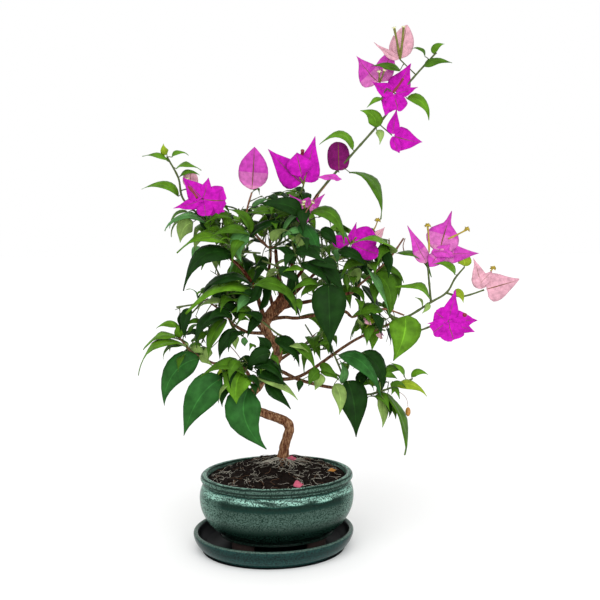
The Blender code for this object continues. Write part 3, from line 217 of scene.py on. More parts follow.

# Masses. bough: the one that it grows from, where that hasn't the mass's own name.
# space: middle and half size of the room that the rule may fill, as across, up, toward.
# spacing, twigs, leaf: millimetres from leaf to leaf and from side twig to side twig, and a leaf's length.
# tones: the greens that the rule deals out. wood: how many of the first shoots are brown.
# shoots: the stem from the bough's tip first, then those that branch off it.
# leaves: placed ones, as foot across and up, tip across, up and toward, the width that shows, in some
# how far the midrib bows to the left of its way, and the green: d deep, m middle, b bright, l lime,
# s bluish with a painted sheen, u turned, g cool.
# blossoms: paper of the bracts, colour of the tubes, the middle, then each bract's tip and width, with
# its outline where that isn't pointed.
MASSES = {
    "left_high": {
        "space": ((-62, 306, 6), (54, 40, 52)), "spacing": 12, "twigs": 26, "leaf": 46, "tones": "mmbdm",
        "shoots": (
            ((-45, 297, 9), (-57, 316, 12), (-68, 333, 14), (-90, 355, 16), (-95, 376, 14),
             (-106, 396, 12)),
            ((-53, 310, 11), (-35, 318, 20), (-24, 324, 24)),
            ((-48, 302, 10), (-38, 306, 30)),
        ),
        "leaves": (
            (-106, 399, -109, 409, 14, 8, "l"), (-105, 392, -130, 397, 14, 5, -3, "b"),
            (-101, 396, -84, 399, 16, 5, 3, "b"), (-97, 385, -72, 383, 18, 6, 5, "b"),
            (-93, 377, -73, 379, 18, 5, 4, "m"), (-95, 358, -130, 365, 20, 9, -8, "b"),
            (-69, 333, -110, 327, 26, 8, -10, "s"), (-81, 333, -93, 313, 20, 17, "u"),
            (-66, 334, -64, 324, 24, 7, "m"), (-25, 323, -47, 347, 30, 9, -7, "m"),
            (-42, 336, -68, 333, 36, 8, -5, "m"), (-44, 307, -96, 305, 34, 9, -13, "b"),
            (-26, 320, -63, 319, 38, 9, -7, "m"), (-25, 322, -32, 296, 44, 18, -8, "s"),
            (-39, 301, -90, 269, 48, 18, -16, "d"), (-54, 299, -53, 289, 30, 5, "m"),
        ),
        "blossoms": (
            ("magenta", None, (-70, 355, 26), (-87, 375, 34, 20), (-96, 347, 36, 13),
             (-49, 354, 38, 30, "round"), (-64, 375, 30, 16), (-48, 343, 40, 13),
             (-66, 341, 42, 16, "round")),
            ("pale", "cream", (-84, 366, 18), (-82, 382, 20, 15, "round")),
        ),
    },
    "crown": {
        "space": ((2, 322, 0), (56, 44, 46)), "spacing": 14, "twigs": 22, "leaf": 48,
        "tones": "dmdsm", "wood": 1,
        "shoots": (
            ((-1, 305, -8), (-10, 309, -2), (-27, 330, 8), (-29, 343, 8), (-24, 362, 6)),
            ((-2, 307, -7), (7, 320, -2), (16, 340, 4), (27, 369, 10)),
            ((7, 320, -2), (24, 330, 14), (35, 344, 18)),
            ((24, 330, 14), (31, 320, 21), (33, 311, 25)),
        ),
        "leaves": (
            (24, 341, -16, 351, 30, 16, -5, "d"), (-27, 340, 15, 340, 24, 7, 4, "m"),
            (-24, 320, 8, 336, 30, 9, 3, "d"), (25, 332, 44, 297, 40, 15, 3, "g"),
            (25, 326, 6, 319, 38, 8, -2, "s"), (34, 343, 67, 312, 36, 14, 12, "m"),
            (43, 324, 59, 309, 20, 12, 4, "d"), (33, 310, 15, 313, 29, 7, -3, "m"),
            (35, 306, 8, 295, 24, 11, -5, "d"), (-14, 298, -25, 273, 22, 10, 3, "d"),
        ),
        "blossoms": (
            ("lilac", None, (-23, 362, 6), (-21, 406, 10, 30, "egg")),
            ("magenta", "olive", (27, 369, 10), (-6, 402, 20, 28), (38, 416, 10, 26)),
            ("lilac", "cream", (29, 343, 22), (13, 360, 26, 12), (32, 357, 24, 14, "egg"),
             (47, 360, 26, 11), (23, 333, 30, 13, "egg")),
        ),
    },
    "top_spray": {
        "bough": "top", "space": ((48, 366, 0), (8, 8, 8)), "spacing": 16, "twigs": 60, "leaf": 30,
        "tones": "bmb",
        "shoots": (
            ((41, 360, -4), (58, 381, 0), (77, 402, 4), (105, 434, 8), (128, 466, 10), (155, 496, 10)),
        ),
        "leaves": (
            (75, 404, 42, 409, 10, 10, -12, "b"), (72, 382, 106, 336, 20, 12, 12, "m"),
            (97, 425, 82, 441, 14, 15, "b"), (98, 422, 100, 408, 20, 8, "u"),
            (103, 452, 88, 443, 16, 5, -2, "b"), (127, 452, 149, 431, 20, 11, 6, "b"),
            (120, 479, 92, 484, 14, 8, -1, "m"), (143, 483, 170, 486, 14, 9, 3, "m"),
            (144, 492, 131, 500, 14, 4, -3, "m"), (152, 495, 163, 504, 12, 7, 3, "b"),
        ),
        "blossoms": (
            ("magenta", None, (115, 457, 14), (130, 485, 14, 23), (93, 466, 24, 15), (135, 461, 26, 10),
             (105, 436, 26, 21), (117, 439, 28, 22, "egg")),
            ("pale", "long", (120, 489, 12), (126, 523, 14, 21, "egg"), (114, 513, 6, 15, "egg"),
             (95, 504, 18, 8)),
            ("lilac", "cream", (100, 466, 12), (78, 491, 18, 25), (113, 500, 6, 19, "egg")),
            ("magenta", None, (113, 417, 12), (117, 442, 14, 13), (141, 410, 20, 24),
             (119, 400, 22, 10, "egg")),
            ("dried", None, (62, 382, 4), (61, 411, 6, 22, "dried")),
        ),
    },
    "right_high": {
        "space": ((98, 282, 0), (36, 36, 40)), "spacing": 12, "twigs": 24, "leaf": 42,
        "tones": "mdm", "wood": 1,
        "shoots": (
            ((74, 261, -10), (84, 270, -8), (96, 280, -5), (113, 297, 0), (127, 317, 0)),
            ((98, 285, -4), (89, 300, 8), (83, 308, 12)),
            ((113, 297, 0), (112, 315, 4)),
        ),
        "leaves": (
            (113, 302, 71, 315, 36, 5, -9, "b"), (121, 302, 155, 279, 10, 7, 10, "m"),
            (99, 281, 112, 239, 14, 20, 8, "m"), (86, 269, 108, 231, -2, 9, 3, "d"),
            (74, 264, 88, 252, 6, 7, "m"), (61, 305, 90, 289, 22, 11, 5, "d"),
            (90, 286, 111, 243, 22, 8, 3, "s"),
        ),
        "blossoms": (
            ("magenta", "olive", (73, 312, 14), (56, 316, 24, 13, "round"), (98, 303, 32, 18, "round"),
             (97, 320, 22, 26, "round"), (79, 333, 12, 9)),
            ("pale", None, (98, 318, 12), (107, 328, 10, 9)),
        ),
    },
    "right_spray": {
        "bough": "right_low", "space": ((140, 246, 10), (8, 8, 8)), "spacing": 18, "twigs": 60, "leaf": 26,
        "tones": "mb",
        "shoots": (
            ((119, 235, 12), (134, 242, 14), (152, 254, 16), (168, 264, 16), (176, 278, 16),
             (185, 289, 16)),
            ((153, 254, 16), (150, 277, 18), (148, 294, 20)),
            ((168, 263, 16), (184, 260, 14), (206, 266, 10)),
            ((128, 239, 13), (136, 226, 18), (157, 233, 20)),
        ),
        "leaves": (
            (151, 258, 116, 270, 24, 8, -8, "b"), (175, 282, 153, 294, 22, 8, -5, "b"),
            (185, 290, 178, 302, 18, 14, "l"), (144, 250, 136, 260, 22, 3, "u"),
            (149, 254, 143, 244, 22, 6, "u"), (175, 265, 184, 254, 14, 8, "l"),
            (127, 241, 115, 198, 30, 33, 3, "b"),
        ),
        "blossoms": (
            ("lilac", None, (147, 291, 20), (129, 329, 24, 15)),
            ("lilac", None, (159, 303, 20), (172, 344, 14, 33, "long"), (197, 303, 24, 20),
             (150, 291, 26, 14, "egg")),
            ("pale", None, (207, 267, 10), (195, 297, 16, 17), (241, 277, 16, 29)),
            ("magenta", None, (170, 236, 20), (176, 267, 22, 16), (196, 238, 28, 22), (192, 228, 32, 19),
             (149, 235, 30, 9), (157, 245, 24, 20, "round"), (153, 227, 34, 17, "round"),
             (172, 221, 36, 26, "round")),
        ),
    },
    "right_mid": {
        "space": ((88, 232, 2), (38, 32, 40)), "spacing": 12, "twigs": 20, "leaf": 42,
        "tones": "mdb", "wood": 1,
        "shoots": (
            ((74, 239, 0), (91, 244, 6), (108, 247, 10), (127, 241, 12)),
            ((84, 241, 3), (83, 229, 14)),
        ),
        "leaves": (
            (105, 247, 73, 241, 18, 9, -3, "m"), (84, 243, 84, 222, 14, 13, "m"),
            (91, 229, 95, 204, 24, 15, "b"), (102, 234, 88, 231, 22, 8, -6, "l"),
        ),
        "blossoms": (
            ("lilac", None, (97, 231, -14), (88, 235, -20, 8), (110, 216, -16, 10)),
        ),
    },
    "right_bottom": {
        "space": ((88, 166, 20), (48, 38, 34)), "spacing": 14, "twigs": 30, "leaf": 40, "tones": "dmmb",
        "shoots": (
            ((65, 168, 18), (79, 164, 20), (93, 163, 20), (111, 168, 18), (136, 177, 12)),
            ((68, 167, 19), (65, 184, 26), (57, 204, 30)),
            ((66, 180, 24), (54, 187, 28), (45, 188, 28)),
            ((100, 165, 19), (101, 175, 22), (105, 184, 24)),
        ),
        "leaves": (
            (61, 205, 102, 166, 44, 14, 11, "g"), (69, 204, 83, 190, 38, 11, "m"),
            (84, 206, 106, 164, 30, 14, 8, "d"), (70, 178, 78, 125, 40, 29, 3, "d"),
            (57, 175, 62, 146, 34, 14, "u"), (64, 175, 63, 199, 34, 9, "s"),
            (44, 187, 62, 178, 31, 9, 4, "m"), (44, 185, 38, 169, 30, 12, "u"),
            (105, 184, 120, 179, 24, 6, 2, "m"), (115, 176, 113, 164, 28, 8, "b"),
            (127, 180, 113, 195, 20, 4, -3, "b"), (135, 179, 152, 182, 16, 6, 5, "b"),
            (119, 172, 150, 163, 26, 8, 6, "l"), (107, 165, 107, 131, 28, 14, -1, "u"),
            (110, 163, 132, 104, 30, 9, 5, "m"), (95, 172, 87, 186, 24, 8, "m"),
            (54, 214, 38, 212, 34, 4, -4, "m"), (43, 188, 32, 174, 36, 12, -3, "m"),
            (43, 194, 59, 184, 36, 8, 2, "m"), (24, 179, 22, 168, 34, 7, 0, "d"),
        ),
    },
    "left_mid": {
        "space": ((-58, 244, 18), (42, 42, 40)), "spacing": 13, "twigs": 18, "leaf": 40,
        "tones": "ddmd", "wood": 1,
        "shoots": (
            ((-42, 232, 16), (-47, 239, 20), (-57, 249, 22), (-69, 257, 20)),
            ((-43, 234, 17), (-31, 253, 24), (-22, 268, 26)),
            ((-46, 238, 19), (-42, 231, 27), (-32, 223, 33)),
            ((-52, 244, 21), (-49, 251, 24), (-48, 257, 26)),
        ),
        "leaves": (
            (-74, 234, -88, 232, 26, 5, -4, "m"), (-64, 210, -67, 197, 30, 9, "u"),
            (-23, 273, -76, 262, 38, 8, -14, "d"), (-25, 270, -87, 246, 44, 13, -13, "b"),
            (-49, 256, -77, 250, 31, 5, -5, "u"), (-45, 241, -80, 212, 38, 12, -12, "d"),
            (-68, 224, -79, 214, 34, 8, -3, "m"), (-49, 239, -66, 204, 46, 14, -4, "m"),
            (-37, 227, -55, 201, 42, 14, -5, "d"), (-29, 227, -46, 210, 48, 6, -6, "d"),
            (-39, 224, -39, 209, 30, 8, "u"), (-29, 221, -30, 212, 30, 7, "s"),
            (-25, 261, -46, 265, 42, 4, -4, "m"), (-24, 258, -36, 247, 44, 12, "s"),
            (-38, 239, -53, 253, 42, 9, "d"), (-28, 252, -44, 260, 40, 7, -3, "m"),
            (-29, 249, -44, 247, 42, 7, -2, "m"), (-28, 247, -36, 236, 44, 7, -2, "m"),
            (-14, 241, -28, 221, 30, 10, -3, "d"), (-18, 259, -36, 268, 36, 8, -4, "d"),
        ),
    },
    "left_low": {
        "space": ((-84, 202, 12), (34, 30, 34)), "spacing": 13, "twigs": 30, "leaf": 34,
        "tones": "mdm", "wood": 1,
        "shoots": (((-60, 193, 14), (-76, 200, 16), (-86, 207, 16), (-94, 216, 14), (-98, 220, 12)),),
        "leaves": (
            (-97, 230, -120, 229, 14, 6, -4, "b"), (-94, 220, -95, 234, 18, 10, "b"),
            (-98, 219, -133, 207, 14, 6, -8, "b"), (-89, 210, -138, 183, 24, 7, -16, "b"),
            (-85, 208, -69, 201, 20, 9, "u"), (-76, 199, -112, 152, 30, 26, -11, "g"),
            (-76, 199, -62, 191, 20, 8, "u"),
        ),
    },
    "front_low": {
        "space": ((-28, 178, 42), (40, 36, 28)), "spacing": 19, "twigs": 30, "leaf": 36,
        "tones": "dmd", "wood": 1,
        "shoots": (
            ((-34, 175, 26), (-39, 181, 32), (-48, 181, 36)),
            ((-35, 177, 29), (-31, 187, 36), (-23, 199, 40), (-8, 207, 40)),
            ((-33, 184, 34), (-38, 190, 38), (-43, 192, 38)),
            ((-35, 177, 29), (-25, 171, 35), (-11, 182, 36)),
        ),
        "leaves": (
            (-29, 185, -73, 188, 56, 10, -13, "m"), (-44, 192, -56, 185, 38, 7, "l"),
            (-32, 190, -37, 161, 54, 28, "b"), (-26, 173, -9, 115, 52, 36, -11, "g"),
            (-52, 183, -88, 128, 52, 31, -8, "g"), (-43, 180, -55, 165, 56, 4, -3, "u"),
            (-43, 175, -52, 156, 48, 9, "d"), (-42, 186, -57, 178, 42, 7, "d"),
            (-5, 207, -28, 191, 43, 17, -5, "d"), (-18, 190, 13, 175, 42, 11, 3, "d"),
            (-17, 184, 23, 163, 52, 7, 5, "u"), (-7, 182, 16, 155, 46, 13, -2, "d"),
            (-8, 210, -18, 223, 34, 12, "d"),
        ),
    },
    "front_mid": {
        "space": ((18, 216, 34), (18, 18, 18)), "spacing": 14, "twigs": 40, "leaf": 26, "tones": "md",
        "shoots": (
            ((8, 218, 20), (12, 221, 28), (18, 217, 32)),
            ((11, 221, 26), (2, 225, 32), (-12, 237, 36)),
        ),
        "leaves": (
            (-14, 238, -31, 247, 40, 7, -4, "d"), (-1, 220, 24, 194, 40, 12, 7, "d"),
            (16, 214, 39, 191, 44, 9, 6, "m"), (14, 214, 32, 210, 36, 4, 3, "u"),
        ),
    },
    "front_high": {
        "space": ((20, 292, 48), (48, 34, 28)), "spacing": 12, "twigs": 24, "leaf": 42,
        "tones": "dmd", "wood": 1,
        "shoots": (
            ((26, 288, 42), (35, 290, 50), (49, 277, 54)),
            ((36, 290, 50), (47, 294, 54), (58, 293, 56)),
            ((26, 290, 43), (20, 302, 46), (16, 313, 44)),
            ((31, 290, 48), (8, 288, 56), (-14, 278, 54)),
        ),
        "leaves": (
            (50, 276, 52, 217, 66, 33, 0, "d"), (-20, 274, 25, 249, 64, 11, 12, "m"),
            (40, 276, 16, 269, 60, 7, -5, "m"), (20, 261, 24, 248, 58, 7, "m"),
            (59, 292, 27, 297, 56, 10, -2, "d"), (26, 290, 7, 288, 50, 5, -2, "b"),
            (20, 306, 48, 296, 58, 11, 4, "d"), (-6, 274, -17, 247, 34, 10, 2, "d"),
            (-14, 277, -29, 254, 32, 10, 3, "d"), (20, 285, 14, 257, 34, 10, -2, "d"),
            (8, 269, 24, 241, 30, 8, 3, "d"), (26, 296, 52, 275, 46, 10, 3, "d"),
            (44, 292, 66, 265, 44, 11, 3, "d"), (3, 289, 24, 275, 44, 10, 3, "d"),
            (41, 275, 23, 262, 50, 8, -3, "m"),
        ),
    },
    "back_low": {
        "space": ((20, 198, -76), (46, 36, 46)), "spacing": 11, "twigs": 20, "leaf": 42,
        "tones": "dmmb", "wood": 1,
        "shoots": (
            ((15, 191, -70), (28, 197, -84), (40, 206, -98)),
            ((20, 193, -76), (2, 202, -88), (-12, 208, -96)),
            ((20, 193, -76), (38, 192, -76), (52, 194, -72)),
        ),
    },
    "back_left": {
        "space": ((-52, 262, -66), (54, 50, 48)), "spacing": 11, "twigs": 20, "leaf": 46,
        "tones": "mdmbs", "wood": 1,
        "shoots": (
            ((-41, 249, -65), (-54, 262, -78), (-68, 276, -90)),
            ((-47, 255, -72), (-42, 278, -80), (-40, 298, -84)),
            ((-47, 255, -72), (-68, 250, -72), (-86, 246, -70)),
        ),
    },
    "back_right": {
        "space": ((62, 284, -66), (52, 50, 48)), "spacing": 11, "twigs": 20, "leaf": 46,
        "tones": "mdmbs", "wood": 1,
        "shoots": (
            ((43, 281, -60), (60, 289, -72), (78, 296, -84)),
            ((51, 286, -69), (60, 268, -76), (70, 254, -78)),
            ((51, 286, -69), (48, 306, -76), (46, 322, -80)),
        ),
    },
    "back_high": {
        "space": ((-4, 324, -54), (56, 44, 42)), "spacing": 11, "twigs": 20, "leaf": 44,
        "tones": "mdmbd", "wood": 1,
        "shoots": (
            ((-8, 294, -58), (-8, 318, -60), (-4, 342, -60)),
            ((-8, 304, -60), (-28, 318, -60), (-44, 328, -56)),
            ((-8, 304, -60), (14, 316, -66), (32, 328, -68)),
        ),
    },
}

# Gaps through the crown, as across, up and radius in the tree's middle plane, seen from the lens
GAPS = (
    (-20, 307, 6), (-9, 314, 5), (7, 311, 4), (-8, 296, 6), (32, 287, 6), (-52, 290, 6), (-67, 284, 7),
    (-80, 274, 8), (-89, 256, 6), (-67, 246, 7), (-78, 242, 6), (-48, 198, 4), (-40, 202, 5),
    (11, 192, 6), (20, 190, 4), (6, 224, 7), (22, 224, 9), (36, 229, 6), (52, 190, 5), (62, 194, 4),
    (76, 179, 5), (72, 230, 7), (92, 259, 6), (106, 204, 7), (45, 330, 6), (-18, 336, 5), (24, 213, 5),
    (-11, 367, 7), (6, 368, 6), (-36, 355, 7), (-22, 353, 4),
)

# Bare fine twigs, as radius and points
BARE_TWIGS = (
    (0.7, (24, 332, 30), (31, 346, 32), (41, 359, 32), (49, 369, 30)),
    (0.5, (-47, 213, 20), (-39, 204, 20), (-32, 194, 22)),
    (0.5, (-45, 298, 20), (-37, 290, 18), (-31, 283, 16)),
    (0.6, (-14, 316, 10), (-6, 306, 8), (0, 299, 4), (3, 268, -4)),
    (0.6, (127, 304, 4), (126, 310, 4), (128, 317, 4)), (0.6, (115, 294, 4), (113, 306, 4), (112, 317, 4)),
    (0.3, (119, 168, 26), (126, 163, 26), (129, 158, 27), (130, 150, 27)),
)

# Bracts outside the blossoms, placed one by one, as paper, foot, tip and width
LONE_BRACTS = (
    ("lilac", (63, 374, 30), (39, 375, 31), 7), ("pale", (86, 240, 24), (93, 233, 25), 7),
    ("pale", (105, 220, 24), (98, 224, 25), 6), ("magenta", (165, 236, 18), (177, 236, 19), 9),
    ("lilac", (150, 290, 17), (170, 312, 18), 15), ("lilac", (152, 304, 17), (176, 300, 18), 12),
    ("pale", (199, 268, 8), (214, 284, 8), 11), ("magenta", (-76, 355, 24), (-64, 355, 25), 9),
    ("magenta", (25, 378, 13), (20, 400, 14), 26),
)

# Tube flowers that are placed one by one, as colour, foot, tip and how wide beside the others
LONE_TUBES = (
    ("yellow", (148, 304, 30), (145, 329, 38), 1.1), ("yellow", (166, 317, 30), (182, 326, 38), 1.1),
    ("yellow", (211, 285, 14), (212, 288, 20), 0.8), ("red", (182, 244, 36), (180, 245.5, 48), 2.3),
    ("red", (-82, 367, 42), (-73, 356, 48), 1.6), ("red", (111, 455, 32), (120, 467, 38), 1.4),
    ("red", (24, 396, 4), (26, 403, 8), 2.2), ("yellow", (95, 324, 12), (99, 334, 18), 0.8),
)

# Dry pod below its thread: the middle, half the width and half the height
POD = ((130, 147, 27), (2.6, 4.6))

# What has fallen on the soil, as piece, place across and toward, its reach and width
FALLEN = (
    ("fallen_bracts", (17, 41), (10, 1), 8), ("fallen_bracts", (19, -30), (-9, 2), 6),
    ("fallen_leaf", (52, -2), (9, 1), 5),
)

# Sides of the solids' box as low and high of X, Y and Z, open below, and how far inside them the
# tips of leaves and bracts start to be drawn in
WHOLE_BOX = ((-139.8, 236.2), (-73.8, 114.2), (-50, 522.8))
BOX_EASE = 6

# Finer growth of the dressed plant
SPUR = 14
SPUR_EVERY = 17
SPUR_FOOT = 0.6
SPUR_TIP = 0.35
SPUR_LEAF = 0.66
SPUR_REACH = (0.6, 1.2)
SPUR_LEAN = 0.5
SPUR_LIFT = 0.3
SPUR_LEAVES_AT = (1.0, 0.55, 0.8)
SPUR_LEAF_REACH = (0.7, 1.15)
RIB_SHADE = 1.6
# Heights in millimetres over which the bark turns redder and, as painted shade, darker up in the crown
BARK_REDDENS_AND_PAINTED_SHADE = (230, 270)
# How much darker the boughs' bark is painted, as painted shade under the crown
BOUGH_PAINTED_SHADE = 0.55
LEAF_STALK = (0.55, 0.42)

# Limbs and twigs as they show: steps along them and sides, and for twigs the share of the solids'
# radius first
TRUNK_STEP = 1.3
TRUNK_SIDES = 28
TRUNK_CUT = SOIL_TOP - 1.2
BOUGH_STEP = 1.6
BOUGH_SIDES = 12
TWIG_MODELS = {"wood": (0.8, 3, 6), "green": (0.8, 3, 6), "stalk": (0.5, 3, 6), "spur": (1, 6, 5)}
BOUGH_FLARE = 0.35
BOUGH_FLARE_REACH = 9
KNOT_EVERY = 1.15
KNOT_SWELLS = 0.22

# Tube flowers: radii from foot to mouth, reach and width beside those radii, and radii of the stars
TUBE_RADII = (0.5, 0.75, 0.95, 0.9, 0.75, 0.7, 0.75, 0.85, 0.9)
TUBE_REACH = (11, 16)
LONG_TUBE = 31
LONG_TUBE_WIDTH = 1.4
CREAM_STAR = 2.6
YELLOW_STAR = 2.8

# Leaves and bracts: how they fade, droop and curl, columns over the half width, and outlines as
# shares of the length and of the half width
BRACT_FADES = 0.44
FADED_SHARES = {"middle": 0.28, "heart": 0.55}
BRACT_BACK_SHADE = 1.08
EDGE_DROOP = 0.28
CURL_FROM = 0.72
LEAF_COLUMNS = (-1, -0.62, -0.3, -0.04, 0.04, 0.3, 0.62, 1)
LEAF_OUTLINE = (
    (0, 0.06), (0.04, 0.36), (0.1, 0.66), (0.2, 0.93), (0.31, 1.0), (0.43, 0.97),
    (0.55, 0.83), (0.67, 0.61), (0.78, 0.38), (0.88, 0.18), (0.95, 0.07), (1, 0.01),
)
BRACT_COLUMNS = (-1, -0.8, -0.55, -0.28, -0.035, 0.035, 0.28, 0.55, 0.8, 1)
BRACT_OUTLINES = {
    "pointed": (
        (0, 0.20), (0.04, 0.52), (0.1, 0.78), (0.19, 0.96), (0.3, 1.0), (0.42, 0.93),
        (0.54, 0.77), (0.66, 0.56), (0.77, 0.36), (0.87, 0.19), (0.95, 0.08), (1, 0.01),
    ),
    "long": (
        (0, 0.20), (0.06, 0.48), (0.14, 0.72), (0.24, 0.9), (0.36, 1.0), (0.48, 0.97),
        (0.58, 0.82), (0.67, 0.5), (0.74, 0.24), (0.82, 0.14), (0.92, 0.08), (1, 0.01),
    ),
    "egg": (
        (0, 0.08), (0.05, 0.34), (0.13, 0.62), (0.24, 0.85), (0.36, 0.97), (0.48, 1.0),
        (0.6, 0.95), (0.71, 0.82), (0.81, 0.6), (0.89, 0.37), (0.95, 0.18), (1, 0.01),
    ),
    "round": (
        (0, 0.22), (0.05, 0.5), (0.13, 0.72), (0.24, 0.88), (0.36, 0.97), (0.48, 1.0),
        (0.6, 0.99), (0.72, 0.93), (0.82, 0.81), (0.9, 0.63), (0.96, 0.41), (1, 0.15),
    ),
    "dried": (
        (0, 0.3), (0.06, 0.6), (0.15, 0.8), (0.25, 0.9), (0.35, 0.96), (0.5, 1.0),
        (0.64, 1.0), (0.76, 0.94), (0.86, 0.8), (0.93, 0.62), (0.98, 0.35), (1, 0.15),
    ),
}

# Camera and lights, in the tree's frame: the panel's size and the floor's half width are in metres,
# the key light's turn and softness in degrees
LENS_SPOT = (23.5, 340, 850)
LENS_DIP = math.radians(5.71)
PANEL_SPOT = (260, 420, 700)
PANEL_AIM = (0, 150, 0)
PANEL_SIZE = (0.5, 0.3)
KEY_TURN = (38, 0, -28)
KEY_SOFTNESS = 50
FLOOR_HALF = 6


def tint(value):
    """An sRGB hex colour as linear RGBA."""
    parts = [int(value[i : i + 2], 16) / 255 for i in (1, 3, 5)]
    return tuple(p / 12.92 if p <= 0.04045 else ((p + 0.055) / 1.055) ** 2.4 for p in parts) + (1.0,)


def colour(name, value, description):
    return FloatVectorProperty(
        name=name, description=description, subtype="COLOR", size=4, min=0, max=1, default=tint(value)
    )


def length(name, millimetres, description):
    return FloatProperty(
        name=name, description=description, default=millimetres * MM, min=0, unit="LENGTH", precision=5
    )


class BonsaiPlant(bpy.types.PropertyGroup):
    leaf_deep: colour("Deep leaf", "#132F0B", "Old leaves in the crown's shade")
    leaf_mid: colour("Middle leaf", "#3C6014", "Most grown leaves")
    leaf_cool: colour("Cool leaf", "#265422", "Large blue green leaves low in front")
    leaf_bright: colour("Bright leaf", "#507A1A", "Younger leaves toward the tips")
    leaf_lime: colour("Lime leaf", "#7E9422", "The newest leaves")
    # Painted sheen: a bluish light on glossy leaves, laid into their colour
    leaf_painted_sheen: colour("Bluish leaf", "#4A7840", "Leaves with a bluish light on them")
    leaf_under: colour("Underside", "#76904C", "Back of the leaves, and leaves that are turned over")
    young_stem: colour("Young stem", "#40500E", "Green twigs and petioles")
    bark_brown: colour("Bark", "#7A5038", "Brown of trunk and boughs")
    # Dark cracks: partly darker bark, partly painted shade in them
    bark_crack_and_painted_shade: colour("Bark cracks", "#46281C", "Cracks and specks of the bark")
    # Multiplied into the bark high up: a red tinge with painted shade of the crown
    bark_red_and_painted_shade: colour("Red cast and painted shade", "#C08A78", "What the bark's brown is tinged with high in the crown")
    # Pale ridges: partly wear, partly a painted highlight on them
    bark_ridge_wear_and_highlight: colour("Bark ridges", "#AC8866", "Worn ridges of the bark")
    bract_magenta: colour("Magenta bract", "#B012A2", "Full-coloured bracts")
    bract_lilac: colour("Lilac bract", "#B43CA2", "Bracts that fade")
    bract_pale: colour("Pale bract", "#C896A4", "Oldest and palest bracts")
    bract_dried: colour("Dried bract", "#6C1058", "Dried purple bract")
    bract_vein: colour("Bract vein", "#6B4A2A", "Brown midvein of a bract")
    tube_red: colour("Dark tube", "#7A1428", "Dark red flower tubes")
    tube_olive: colour("Olive tube", "#6A6A20", "Olive green flower tubes")
    flower_cream: colour("Flower star", "#F0E9B4", "Cream star at the end of an open tube")
    flower_yellow: colour("Yellow star", "#B8A02C", "Older open flowers at the ends of the tubes")
    pod_amber: colour("Pod", "#A8742A", "Dry pod on its thread")
    fallen_pink: colour("Fallen bract", "#B4566C", "Dried bracts on the soil")
    fallen_vein: colour("Fallen vein", "#8A3A3A", "Midvein of the bracts on the soil")
    fallen_tan: colour("Fallen leaf", "#A97438", "Dry leaf on the soil")
    leaf_thickness: length("Leaf thickness", 0.35, "Thickness of a leaf")
    bract_thickness: length("Bract thickness", 0.22, "Thickness of a papery bract")
    fallen_thickness: length("Fallen thickness", 0.3, "Thickness of what lies on the soil")
    bark_relief: FloatProperty(
        name="Bark relief", description="Depth of the bark's ridges as a share of the limb's radius",
        default=0.16, min=0, max=0.5, subtype="FACTOR",
    )


class BonsaiPot(bpy.types.PropertyGroup):
    # The glaze's own grey green. Made paler, it also gives the painted highlight along the rim's top, the
    # painted rim light at the pot's ends and the saucer's pale edge, which is partly a painted highlight
    glaze_light: colour("Celadon", "#5F7D71", "Grey green where the glaze lies thick")
    # The dark teal round the pale band is partly the shoulder's own glaze and partly a painted reflection
    # of a dark room
    glaze_teal: colour("Teal", "#1E5248", "Blue green of the shoulder")
    # Painted reflection: the pale blue green band round the shoulder stands for a bright window mirrored in
    # the glaze
    glaze_pool: colour("Painted reflection", "#98C6B6", "Pale blue green where the glaze pools round the shoulder")
    # Dark glaze, with painted shade where it darkens the grooves and the low belly
    glaze_dark: colour("Dark glaze", "#0C1F1A", "Dark glaze in grooves and low on the belly")
    glaze_fleck: colour("Fleck", "#152A22", "Dark flecks in the glaze")
    glaze_saucer: colour("Saucer", "#143532", "Blue green outside of the saucer")
    # Dark glaze with painted shade under the pot; the saucer's flecks take it as well
    saucer_black_and_painted_shade: colour("Saucer inside", "#0A0D0E", "Near black inside of the saucer")
    clay: colour("Clay", "#24140F", "Bare fired clay of the feet")
    soil_brown: colour("Soil", "#120B08", "Damp potting soil")
    root_pale: colour("Root", "#BDB8AA", "Fine surface roots")
    fibre_brown: colour("Fibre", "#6A4A30", "Brown fibres in the soil")
    turn_steps: IntProperty(
        name="Turn steps", description="Steps of a full turn", default=144, min=24, max=360
    )


class BonsaiStage(bpy.types.PropertyGroup):
    floor_white: colour("Floor", "#F2F2F2", "Matt white studio floor")
    sky_strength: FloatProperty(name="Sky", description="Strength of the surround", default=1.0, min=0)
    key_strength: FloatProperty(name="Key", description="Strength of the key light", default=0.9, min=0)
    panel_power: FloatProperty(name="Panel", description="Power of the front panel", default=2.0, min=0)
    lens: FloatProperty(name="Lens", description="Focal length", default=51, min=10, unit="CAMERA")


def place(spot):
    """A point of the tree's frame, across, up and toward, in the row's frame."""
    across, up, toward = spot
    c, s = math.cos(TREE_TURN), math.sin(TREE_TURN)
    return Vector((across * c + toward * s, across * s - toward * c, up)) * MM


def smooth_line(stations, steps):
    """Points on a smooth curve through the stations, which hold any count of numbers each."""
    ends = [stations[0]] + list(stations) + [stations[-1]]
    line = []
    for i in range(len(stations) - 1):
        p0, p1, p2, p3 = (Vector(ends[i + k]) for k in range(4))
        for k in range(steps):
            t = k / steps
            line.append(
                0.5 * (2 * p1 + (p2 - p0) * t + (2 * p0 - 5 * p1 + 4 * p2 - p3) * t**2
                       + (3 * p1 - p0 - 3 * p2 + p3) * t**3)
            )
    line.append(Vector(stations[-1]))
    return line


def steady(start, end, count):
    """A count of values at even steps from a start to an end."""
    return [start + (end - start) * i / (count - 1) for i in range(count)]


def run_of(line):
    """The length run so far at each point of a line."""
    run = [0.0]
    for a, b in zip(line, line[1:]):
        run.append(run[-1] + (b - a).length)
    return run


